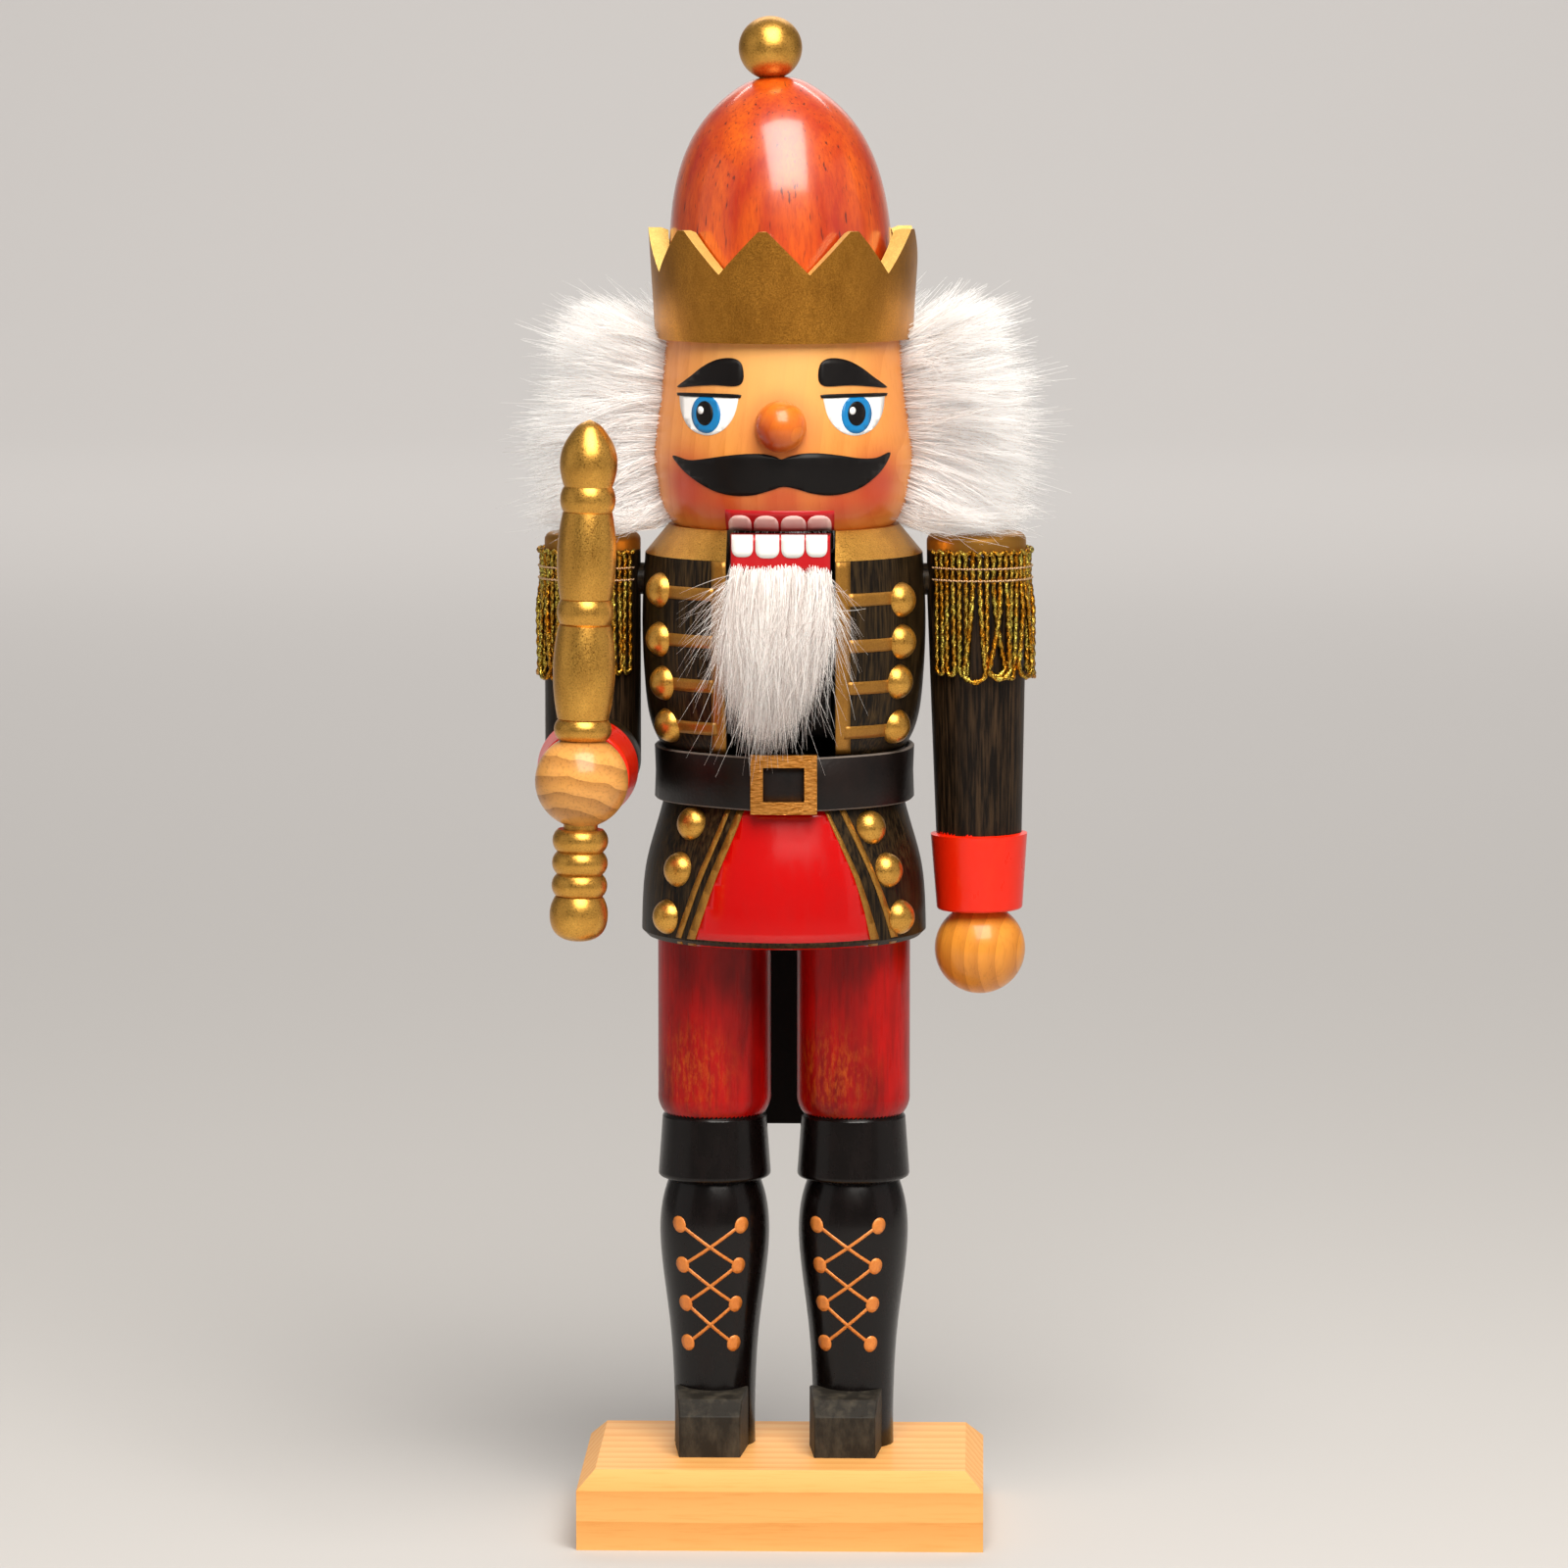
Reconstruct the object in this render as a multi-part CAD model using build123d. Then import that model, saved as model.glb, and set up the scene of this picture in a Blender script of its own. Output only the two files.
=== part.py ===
from build123d import *
import math
import os

# King nutcracker figure, turned from wood. Millimetres.
# The origin is on the turned axis of the body, on the underside of the base.
# +Z is up, the figure faces -Y, and its own left side is +X.

# Base board
base_width = 101.6
base_depth = 74.0
base_side_height = 15.0
base_height = 19.5
base_end_chamfer = 4.5
base_front_chamfer = 5.5
base_centre_y = -6.0

# Legs: boot, boot cuff and thigh are one turning
leg_x = 17.6
boot_top = 87.2
cuff_bottom_z, cuff_top_z = 88.4, 103.6
cuff_bottom_radius, cuff_top_radius = 14.3, 13.2
thigh_radius, thigh_end_radius = 14.3, 12.6
thigh_bottom, thigh_straight_from = 104.3, 109.6
hip_z = 150.2
hip_dowel_radius, hip_dowel_depth = 4.0, 12.0
toe_front_width, toe_back_width = 15.4, 18.6
toe_front_y, toe_back_y = -22.2, -5.0
toe_centre_x = {"right": -18.2, "left": 15.9}
screw_radius, screw_head_radius, screw_top = 1.9, 3.8, 48.0

# Body: skirt, waist and chest are one turning, slotted for the jaw lever
collar_z, collar_radius = 254.0, 29.0
collar_edge_z, collar_edge_radius = 246.9, 34.9
waist_radius, belt_gap = 31.0, 0.1
waist_bottom, waist_top = 185.2, 198.0
skirt_radius = 35.9
slot_width = 27.0
slot_floor = 188.0

# Jaw lever and its cross pin
jaw_width = 24.8
jaw_front_y = -33.5
jaw_top = 253.6
pin_y, pin_z = 8.0, 235.0
pin_radius, pin_half_length = 2.0, 31.0
running_clearance = 0.05
tail_inner_y, tail_thickness, tail_bottom = 36.5, 6.5, 95.4

# Head, crown and cap
head_top = 300.7
head_top_radius = 30.0
head_low_radius = 27.5
neck_dowel_x, neck_dowel_radius, neck_dowel_depth = 21.0, 3.0, 8.0
nose_radius = 6.4
nose_y, nose_z = -33.5, 280.4
crown_bore_radius = 28.9
crown_low_radius, crown_tip_radius = 32.3, 34.0
crown_tip_z, crown_valley_z = 328.3, 317.6
crown_points = 9
crown_turn = -7.5
crown_tip_flat = 1.1
cap_tilt = -2.1
total_height = 381.0
finial_radius = 7.95
finial_x = -3.4

# Belt and buckle
belt_radius, belt_thickness = 32.8, 1.7
belt_bottom, belt_top = 184.8, 198.2
buckle_width, buckle_height, buckle_bar = 16.5, 14.8, 3.1
buckle_thickness = 2.0
buckle_x, buckle_z = 0.8, 191.5

# Dome-headed tacks on chest and skirt: angle round from the front, height
tack_radius, tack_rise = 4.4, 3.4
tack_nail_radius, tack_nail_length = 0.9, 7.0
chest_tacks = [
    (-59.5, 238.6), (-59.0, 226.3), (-57.4, 215.4), (-57.6, 204.6),
    (57.2, 236.4), (57.2, 225.9), (56.0, 215.9), (58.0, 204.4),
]
skirt_tacks = [
    (-45.6, 180.5), (-48.2, 169.0), (-53.5, 156.8),
    (44.6, 179.7), (50.2, 168.9), (56.0, 156.8),
]

# Arms
shoulder_z = 240.0
arm_top = 251.8
arm_radius = 12.5
left_arm_x = 48.5
left_arm_lean = -0.66
left_cuff_top, left_cuff_bottom = 175.7, 156.5
right_arm_x = -48.2
right_arm_radius = 12.1
right_cuff_start, right_cuff_end = 25.8, 45.0
elbow_z = 194.7
shoulder_dowel_radius, shoulder_dowel_inner, shoulder_dowel_outer = 4.0, 20.0, 45.0
elbow_dowel_radius, elbow_dowel_length = 3.0, 18.0
hand_radius = 11.45
hand_peg_radius, hand_peg_depth = 4.5, 11.0
left_hand_z = 146.4
right_hand_y = -55.5
fringe_thickness = 1.9
fringe_top, fringe_bottom = 248.0, 215.0
fringe_wrap = 290.0

# Scepter, pegged into the right hand from above and from below
scepter_lean = 1.43
scepter_peg_radius = 4.2

# Fur
hair_front_angle = 72.0
beard_thickness = 7.5


def turned(side):
    """Solid turned about Z from a side line in (radius, height), lowest point first."""
    start, end = side @ 0, side @ 1
    corners = [(0, end.Y), (0, start.Y)]
    if end.X > 0.01:
        corners.insert(0, (end.X, end.Y))
    if start.X > 0.01:
        corners.append((start.X, start.Y))
    return revolve(Plane.XZ * make_face(side.edges() + Polyline(corners).edges()), Axis.Z)


def rings_near(solid, height, reach=0.05):
    """The circular edges of a turned solid at one height."""
    return solid.edges().filter_by(GeomType.CIRCLE).filter_by_position(Axis.Z, height - reach, height + reach)


def rod(radius, start, end):
    """Round bar between two points."""
    line = Vector(*end) - Vector(*start)
    upright = Cylinder(radius, line.length, align=(Align.CENTER, Align.CENTER, Align.MIN))
    return Plane(Vector(*start), z_dir=line) * upright


def bead(low, high, radius, waist):
    """Side-line arc of one turned bead between two heights."""
    return ThreePointArc((waist, low), (radius, (low + high) / 2), (waist, high))


# ---------------------------------------------------------------- base and legs

def chamfered_bar(width, run, length):
    """Bar along X with both upper edges chamfered."""
    half = width / 2
    outline = Polyline(
        (-half, 0), (half, 0), (half, base_side_height),
        (half - run, base_height), (-half + run, base_height), (-half, base_side_height), close=True,
    )
    return extrude(Plane.YZ * make_face(outline), length / 2, both=True)


def make_base_screws():
    """Countersunk screws driven up through the base into both legs."""
    side = Polyline(
        (0.1, 0.6), (screw_head_radius, 0.6), (screw_radius, 3.4),
        (screw_radius, screw_top - 3), (0.2, screw_top),
    )
    screw = turned(side)
    return Compound([Pos(x, 0, 0) * screw for x in (-leg_x, leg_x)])


def make_base(screws):
    across = chamfered_bar(base_depth, base_front_chamfer, base_width)
    along = Rot(0, 0, 90) * chamfered_bar(base_width, base_end_chamfer, base_depth)
    plate = Pos(0, base_centre_y, 0) * (across & along)
    for x in (-leg_x, leg_x):
        plate -= Pos(x, 0, 0.3) * Cylinder(screw_head_radius, 0.6)
    return plate - screws


def make_leg(x, dowel, screws):
    boot = Spline((10.3, base_height), (10.35, 34), (11.5, 51.3), (13.5, 67.5), (13.85, 76), (11.7, boot_top))
    cuff = Polyline(
        boot @ 1, (cuff_bottom_radius, cuff_bottom_z), (cuff_top_radius, cuff_top_z),
        (thigh_end_radius, thigh_bottom),
    )
    rounding = (thigh_radius - 0.35, thigh_bottom + 2.3)
    thigh_low = ThreePointArc(cuff @ 1, rounding, (thigh_radius, thigh_straight_from))
    thigh = Line(thigh_low @ 1, (thigh_radius, hip_z))
    leg = turned(Wire(boot.edges() + cuff.edges() + thigh_low.edges() + thigh.edges()))
    leg = fillet(rings_near(leg, cuff_bottom_z), 1.1)
    leg = fillet(rings_near(leg, cuff_top_z), 0.5)
    return Pos(x, 0, 0) * leg - dowel - screws


def make_toe(x, leg):
    """Wedge-shaped shoe front glued against the boot."""
    front, back = toe_front_width / 2, toe_back_width / 2
    plan = Polyline(
        (-front, toe_front_y), (front, toe_front_y), (back, toe_back_y), (-back, toe_back_y), close=True
    )
    side = Polyline(
        (toe_front_y, base_height), (toe_front_y, 29.9), (toe_front_y + 5.0, 33.5),
        (toe_back_y, 35.0), (toe_back_y, base_height), close=True,
    )
    toe = extrude(make_face(plan), 40) & extrude(Plane.YZ * make_face(side), 15, both=True)
    toe = fillet(toe.edges().filter_by_position(Axis.Z, base_height + 1, 36), 0.5)
    return Pos(x, 0, 0) * toe - leg


# ---------------------------------------------------------------- body

skirt_line = Spline((skirt_radius, 151.6), (35.75, 158), (34.8, 168), (32.15, 178), (30.2, waist_bottom))
chest_line = Spline(
    (waist_radius - 0.4, waist_top), (32.6, 201.6), (35.0, 214), (35.65, 232),
    (collar_edge_radius, collar_edge_z),
)


def on_line(line, height):
    """Point and upward tangent where a rising side line passes a height."""
    low, high = 0.0, 1.0
    for _ in range(40):
        middle = (low + high) / 2
        if (line @ middle).Y < height:
            low = middle
        else:
            high = middle
    return line @ low, line % low


def make_tacks(line, places):
    """Dome-headed tacks standing square to the turned surface."""
    dome_sphere = (tack_radius ** 2 + tack_rise ** 2) / (2 * tack_rise)
    dome = Pos(0, 0, tack_rise - dome_sphere) * Sphere(dome_sphere)
    dome &= Pos(0, 0, tack_rise) * Box(20, 20, 2 * tack_rise + 0.7)
    nail = Cylinder(tack_nail_radius, tack_nail_length, align=(Align.CENTER, Align.CENTER, Align.MAX))
    tack = dome + nail
    tacks = []
    for angle, height in places:
        point, upward = on_line(line, height)
        tilt = math.degrees(math.atan2(-upward.X, upward.Y))
        tacks.append(Rot(0, 0, angle) * Pos(0, -point.X, height) * Rot(90 - tilt, 0, 0) * tack)
    return Compound(tacks)


def make_torso(cutters, sockets):
    hem = Polyline((skirt_radius - 1.4, hip_z), skirt_line @ 0)
    waist_side = waist_radius - belt_gap
    waist = Polyline(
        skirt_line @ 1, (waist_side, waist_bottom + 0.6), (waist_side, waist_top - 0.6), chest_line @ 0
    )
    collar = Line(chest_line @ 1, (collar_radius, collar_z))
    lines = (hem, skirt_line, waist, chest_line, collar)
    body = turned(Wire([edge for line in lines for edge in line.edges()]))
    slot_height = collar_z - slot_floor + 10
    body -= Pos(0, 0, slot_floor + slot_height / 2) * Box(slot_width, 100, slot_height)
    for socket in sockets:
        body -= socket
    for cutter in cutters:
        body -= cutter
    return body


def make_jaw_lever():
    """One-piece lever: toothed lip in front, nut seat behind it, handle down the back."""
    outer_y = tail_inner_y + tail_thickness
    outline = Polyline(
        (jaw_front_y, 207.0), (jaw_front_y, jaw_top), (jaw_front_y + 6, jaw_top), (jaw_front_y + 8.5, 242.0),
        (-6.0, 242.0), (1.0, 246.5), (14.0, 246.5), (outer_y - 3, 236.5), (outer_y, 231.0), (outer_y, 114.0),
        (outer_y + 2.6, tail_bottom + 4), (outer_y + 0.6, tail_bottom), (tail_inner_y + 1.2, tail_bottom),
        (tail_inner_y, 114.0), (tail_inner_y, 196.0), (33.0, 200.0), (-12.0, 200.0), (-26.0, 203.0),
        close=True,
    )
    lever = extrude(Plane.YZ * make_face(outline), jaw_width / 2, both=True)
    long_edges = lever.edges().filter_by(Axis.X)
    lever = fillet(long_edges.filter_by_position(Axis.Z, 230, 250), 1.5)
    long_edges = lever.edges().filter_by(Axis.X)
    lever = fillet(long_edges.filter_by_position(Axis.Z, jaw_top - 0.1, jaw_top + 0.1), 0.4)
    hole = rod(pin_radius + running_clearance, (-jaw_width, pin_y, pin_z), (jaw_width, pin_y, pin_z))
    return lever - hole


def make_belt():
    height = belt_top - belt_bottom
    ring = Cylinder(belt_radius, height) - Cylinder(belt_radius - belt_thickness, height)
    return Pos(0, 0, (belt_top + belt_bottom) / 2) * ring


def make_buckle():
    """Square frame curved to lie on the belt."""
    frame = Box(buckle_width, 20, buckle_height)
    frame -= Box(buckle_width - 2 * buckle_bar, 30, buckle_height - 2 * buckle_bar)
    frame = Pos(buckle_x, -belt_radius, buckle_z) * frame
    shell = Cylinder(belt_radius + buckle_thickness, 40) - Cylinder(belt_radius, 40)
    return frame & (Pos(0, 0, buckle_z) * shell)


# ---------------------------------------------------------------- head

def make_head(cutters):
    low = ThreePointArc((head_low_radius, collar_z), (30.3, 257.3), (32.0, 262.3))
    barrel = Spline(
        low @ 1, (33.2, 269.0), (33.0, 276.0), (31.6, 286), (head_top_radius, head_top),
        tangents=(low % 1, (-0.12, 1)),
    )
    head = turned(Wire(low.edges() + barrel.edges()))
    for cutter in cutters:
        head -= cutter
    return head


def make_nose():
    ball = Pos(0, nose_y, nose_z) * Sphere(nose_radius)
    return ball + rod(2.0, (0, nose_y, nose_z), (0, nose_y + 14, nose_z))


def make_crown():
    """Ring with pointed teeth, wider towards the tips."""
    side = Line((crown_low_radius, head_top), (crown_tip_radius, crown_tip_z))
    ring = turned(side) - Cylinder(crown_bore_radius, 2 * crown_tip_z)
    pitch = 360 / crown_points
    half = crown_tip_radius * math.sin(math.radians(pitch / 2)) - crown_tip_flat
    notch = Polyline((-half, crown_tip_z + 0.01), (half, crown_tip_z + 0.01), (0, crown_valley_z), close=True)
    wedge = extrude(Plane.XZ * make_face(notch), crown_tip_radius + 4)
    for index in range(crown_points):
        ring -= Rot(0, 0, crown_turn + (index + 0.5) * pitch) * wedge
    return ring


def make_finial():
    ball_z = total_height - finial_radius
    ball = Pos(finial_x, 0, ball_z) * Sphere(finial_radius)
    return ball + rod(3.0, (finial_x + 0.6, 0, ball_z - 18), (finial_x, 0, ball_z))


def make_cap(finial):
    """Egg-shaped cap, set a little crooked, with a tenon into the head."""
    side = Spline(
        (27.2, head_top), (27.7, 327), (23.4, 347), (15.5, 358.6), (8.6, 363.9), (0, 366.0),
        tangents=((0.05, 1), (-1, 0.02)),
    )
    egg = turned(side)
    egg = Pos(0, 0, head_top) * Rot(0, cap_tilt, 0) * Pos(0, 0, -head_top) * egg
    footing = Pos(0, 0, head_top - 10) * Box(90, 90, 20)
    foot = Pos(0, 0, head_top + 4) * Cylinder(27.2, 8)
    tenon = rod(6.0, (0, 0, head_top - 10), (0, 0, head_top + 5))
    return egg - footing + foot + tenon - finial


# ---------------------------------------------------------------- fur

def make_hair(head):
    """Fur pad round the sides and the back of the head, open at the face."""
    outline = Spline(
        (30, 258.2), (44, 258.4), (56, 266), (59.5, 278), (56, 294), (46, 303), (35, 300.2), (30, 299),
    )
    closing = Line(outline @ 1, outline @ 0)
    profile = Plane.XZ * make_face(outline.edges() + closing.edges())
    start = -90 + hair_front_angle
    pad = revolve(Rot(0, 0, start) * profile, Axis.Z, 360 - 2 * hair_front_angle)
    return pad - head


def make_beard():
    """Fur pad glued to the front of the jaw, hanging to a point."""
    outline = Polyline(
        (-12, 245), (12, 245), (16, 236), (15, 225),
        (8.5, 203), (-9, 203), (-16.5, 225), (-17, 236), close=True,
    )
    pad = extrude(Plane.XZ * make_face(outline), beard_thickness)
    pad = Pos(0, jaw_front_y, 0) * pad
    front = pad.faces().sort_by(Axis.Y)[0]
    return fillet(front.edges(), 2.5)


# ---------------------------------------------------------------- arms

def make_left_sleeve():
    """Straight arm: sleeve and cuff in one turning, in place and leaning a little outwards."""
    cuff = Polyline((10.8, left_cuff_bottom), (12.2, left_cuff_top), (10.8, left_cuff_top + 0.3))
    sleeve = Spline(cuff @ 1, (11.5, 200), (arm_radius, 236))
    shoulder = Line(sleeve @ 1, (arm_radius, arm_top))
    arm = turned(Wire(cuff.edges() + sleeve.edges() + shoulder.edges()))
    arm = fillet(rings_near(arm, arm_top), 2.0)
    arm = fillet(rings_near(arm, left_cuff_bottom), 0.8)
    return arm


def make_right_upper_arm():
    arm = fillet(rings_near(turned(Line((right_arm_radius, 170), (right_arm_radius, arm_top))), arm_top), 2.0)
    return Pos(right_arm_x, 0, 0) * arm


def make_right_forearm():
    """Forearm built along its own axis from the elbow, then laid to point forwards."""
    sleeve = Polyline((right_arm_radius, -16), (right_arm_radius, 13.5), (11.2, right_cuff_start))
    cuff = Polyline(sleeve @ 1, (12.6, right_cuff_start + 0.3), (11.2, right_cuff_end))
    arm = turned(Wire(sleeve.edges() + cuff.edges()))
    arm = fillet(rings_near(arm, right_cuff_end), 0.8)
    return Pos(right_arm_x, 0, elbow_z) * Rot(90, 0, 0) * arm


def make_fringe(sleeve_radius):
    """Hanging fringe wrapped round a sleeve, open only towards the body at -X."""
    middle = (fringe_top + fringe_bottom) / 2
    height = fringe_top - fringe_bottom
    profile = Pos(sleeve_radius + fringe_thickness / 2, middle) * Rectangle(fringe_thickness, height)
    wrap = Rot(0, 0, -fringe_wrap / 2) * (Plane.XZ * profile)
    return revolve(wrap, Axis.Z, fringe_wrap)


def make_hand(centre, wrist):
    """Ball hand with its peg towards the wrist."""
    ball = Pos(*centre) * Sphere(hand_radius)
    return ball + rod(hand_peg_radius, centre, wrist)


# ---------------------------------------------------------------- scepter, heights from the hand's centre

def make_scepter_shaft():
    tip = 88.8
    peg = Polyline((scepter_peg_radius, 0.6), (scepter_peg_radius, 10.2))
    low_bead = bead(10.2, 15.4, 7.1, 5.9)
    low_body = ThreePointArc((6.3, 15.4), (7.6, 29.5), (6.45, 38.4))
    mid_bead = bead(38.4, 44.9, 6.95, 6.0)
    high_body = ThreePointArc((6.35, 44.9), (7.25, 54.0), (6.1, 66.1))
    top_bead = bead(66.1, 72.4, 6.8, 5.9)
    egg = Spline(
        (5.95, 72.4), (7.05, 77.8), (6.1, 82.6), (4.0, 86.0), (0, tip), tangents=((0.35, 1), (-1, 0.35))
    )
    pieces = [peg, low_bead, low_body, mid_bead, high_body, top_bead, egg]
    return turned(joined(pieces))


def make_scepter_grip():
    pommel_low, pommel_high, pommel_radius = -39.6, -28.5, 7.15
    pommel = Spline((0, pommel_low), (pommel_radius, -33.6), (5.9, pommel_high), tangents=((1, 0), (-0.6, 1)))
    beads = [bead(pommel_high + 5.55 * step, pommel_high + 5.55 * (step + 1), 6.85, 5.6) for step in range(3)]
    peg = Polyline((scepter_peg_radius, beads[-1].end_point().Y), (scepter_peg_radius, -0.6))
    return turned(joined([pommel] + beads + [peg]))


def joined(pieces):
    """One side line from consecutive pieces, stepping level between their ends."""
    edges = list(pieces[0].edges())
    for before, after in zip(pieces, pieces[1:]):
        end, start = before @ 1, after @ 0
        if (end - start).length > 1e-6:
            edges.append(Line(end, start).edge())
        edges.extend(after.edges())
    return Wire(edges)


# ---------------------------------------------------------------- assembly

os.makedirs("parts", exist_ok=True)
nodes = {}

screws = make_base_screws()
hip_dowels = Compound([
    rod(hip_dowel_radius, (x, 0, hip_z - hip_dowel_depth), (x, 0, hip_z + hip_dowel_depth))
    for x in (-leg_x, leg_x)
])
nodes["base_screws"] = screws
nodes["base_plate"] = make_base(screws)
nodes["hip_dowels"] = hip_dowels
for side, x in (("right", -leg_x), ("left", leg_x)):
    leg = make_leg(x, hip_dowels, screws)
    nodes[f"{side}_leg"] = leg
    nodes[f"{side}_shoe_toe"] = make_toe(toe_centre_x[side], leg)

jaw_pin = rod(pin_radius, (-pin_half_length, pin_y, pin_z), (pin_half_length, pin_y, pin_z))
pin_bore = rod(pin_radius, (-60, pin_y, pin_z), (60, pin_y, pin_z))
neck_dowels = Compound([
    rod(neck_dowel_radius, (x, 0, collar_z - neck_dowel_depth), (x, 0, collar_z + neck_dowel_depth))
    for x in (-neck_dowel_x, neck_dowel_x)
])
chest_buttons = make_tacks(chest_line, chest_tacks)
skirt_buttons = make_tacks(skirt_line, skirt_tacks)
shoulder_bores = [
    rod(
        shoulder_dowel_radius + running_clearance,
        (end * (shoulder_dowel_inner - 0.5), 0, shoulder_z), (end * 60, 0, shoulder_z),
    )
    for end in (-1, 1)
]
nodes["jaw_pin"] = jaw_pin
nodes["jaw_lever"] = make_jaw_lever()
nodes["neck_dowels"] = neck_dowels
nodes["chest_buttons"] = chest_buttons
nodes["skirt_buttons"] = skirt_buttons
nodes["torso"] = make_torso([pin_bore, neck_dowels, hip_dowels, chest_buttons, skirt_buttons], shoulder_bores)
nodes["belt"] = make_belt()
nodes["belt_buckle"] = make_buckle()

nose = make_nose()
finial = make_finial()
cap = make_cap(finial)
nodes["nose"] = nose
nodes["finial_ball"] = finial
nodes["cap"] = cap
nodes["crown"] = make_crown()
nodes["head"] = make_head([neck_dowels, nose, cap])
nodes["hair"] = make_hair(nodes["head"])
nodes["beard"] = make_beard()

left_lean = Pos(left_arm_x, 0, shoulder_z) * Rot(0, left_arm_lean, 0) * Pos(0, 0, -shoulder_z)
left_dowel = rod(
    shoulder_dowel_radius, (shoulder_dowel_inner, 0, shoulder_z), (shoulder_dowel_outer, 0, shoulder_z)
)
left_hand = left_lean * make_hand((0, 0, left_hand_z), (0, 0, left_cuff_bottom + hand_peg_depth))
nodes["left_shoulder_dowel"] = left_dowel
nodes["left_hand"] = left_hand
nodes["left_arm"] = left_lean * make_left_sleeve() - left_dowel - left_hand
nodes["left_epaulette_fringe"] = left_lean * make_fringe(arm_radius)

right_dowel = rod(
    shoulder_dowel_radius, (-shoulder_dowel_outer, 0, shoulder_z), (-shoulder_dowel_inner, 0, shoulder_z)
)
elbow = Vector(right_arm_x, 0, elbow_z)
mitre = Plane(elbow, z_dir=(0, 1, 1))
elbow_dowel = mitre * Cylinder(elbow_dowel_radius, elbow_dowel_length)
right_hand_centre = (right_arm_x, right_hand_y, elbow_z)
scepter_place = Pos(*right_hand_centre) * Rot(0, scepter_lean, 0)
shaft = scepter_place * make_scepter_shaft()
grip = scepter_place * make_scepter_grip()
wrist = (right_arm_x, hand_peg_depth - right_cuff_end, elbow_z)
right_hand = make_hand(right_hand_centre, wrist) - shaft - grip
hand_blank = make_hand(right_hand_centre, wrist)
nodes["right_shoulder_dowel"] = right_dowel
nodes["right_elbow_dowel"] = elbow_dowel
nodes["scepter_shaft"] = shaft
nodes["scepter_grip"] = grip
nodes["right_hand"] = right_hand
upper_arm = split(make_right_upper_arm(), bisect_by=mitre, keep=Keep.TOP)
nodes["right_upper_arm"] = upper_arm - right_dowel - elbow_dowel
forearm = split(make_right_forearm(), bisect_by=mitre, keep=Keep.BOTTOM)
nodes["right_forearm"] = forearm - elbow_dowel - hand_blank
nodes["right_epaulette_fringe"] = Pos(right_arm_x, 0, 0) * Rot(0, 0, 180) * make_fringe(right_arm_radius)

for name, shape in nodes.items():
    export_step(shape, f"parts/{name}.step")
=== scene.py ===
"""Nutcracker figure: paint, varnish, fur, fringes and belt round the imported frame."""
import random
from math import copysign, cos, pi, radians, sin, tan

import bmesh
import bpy
import numpy as np
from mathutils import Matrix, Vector
from mathutils.bvhtree import BVHTree


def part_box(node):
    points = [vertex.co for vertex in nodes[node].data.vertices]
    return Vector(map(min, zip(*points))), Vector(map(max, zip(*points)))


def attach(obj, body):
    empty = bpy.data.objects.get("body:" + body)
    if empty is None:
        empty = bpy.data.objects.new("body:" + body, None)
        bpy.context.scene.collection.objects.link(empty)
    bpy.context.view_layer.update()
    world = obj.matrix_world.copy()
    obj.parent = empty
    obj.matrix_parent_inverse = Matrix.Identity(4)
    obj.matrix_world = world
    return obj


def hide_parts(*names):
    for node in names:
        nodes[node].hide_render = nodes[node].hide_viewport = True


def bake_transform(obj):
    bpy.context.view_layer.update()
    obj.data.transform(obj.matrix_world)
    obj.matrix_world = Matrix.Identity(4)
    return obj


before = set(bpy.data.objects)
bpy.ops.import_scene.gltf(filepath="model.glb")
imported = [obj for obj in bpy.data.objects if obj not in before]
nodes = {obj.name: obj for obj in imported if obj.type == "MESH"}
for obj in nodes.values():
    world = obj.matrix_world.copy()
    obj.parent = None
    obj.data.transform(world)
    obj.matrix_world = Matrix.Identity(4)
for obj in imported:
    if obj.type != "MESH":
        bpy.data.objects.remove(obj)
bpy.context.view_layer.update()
MM = 0.001


# ---- camera, light and floor

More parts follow.
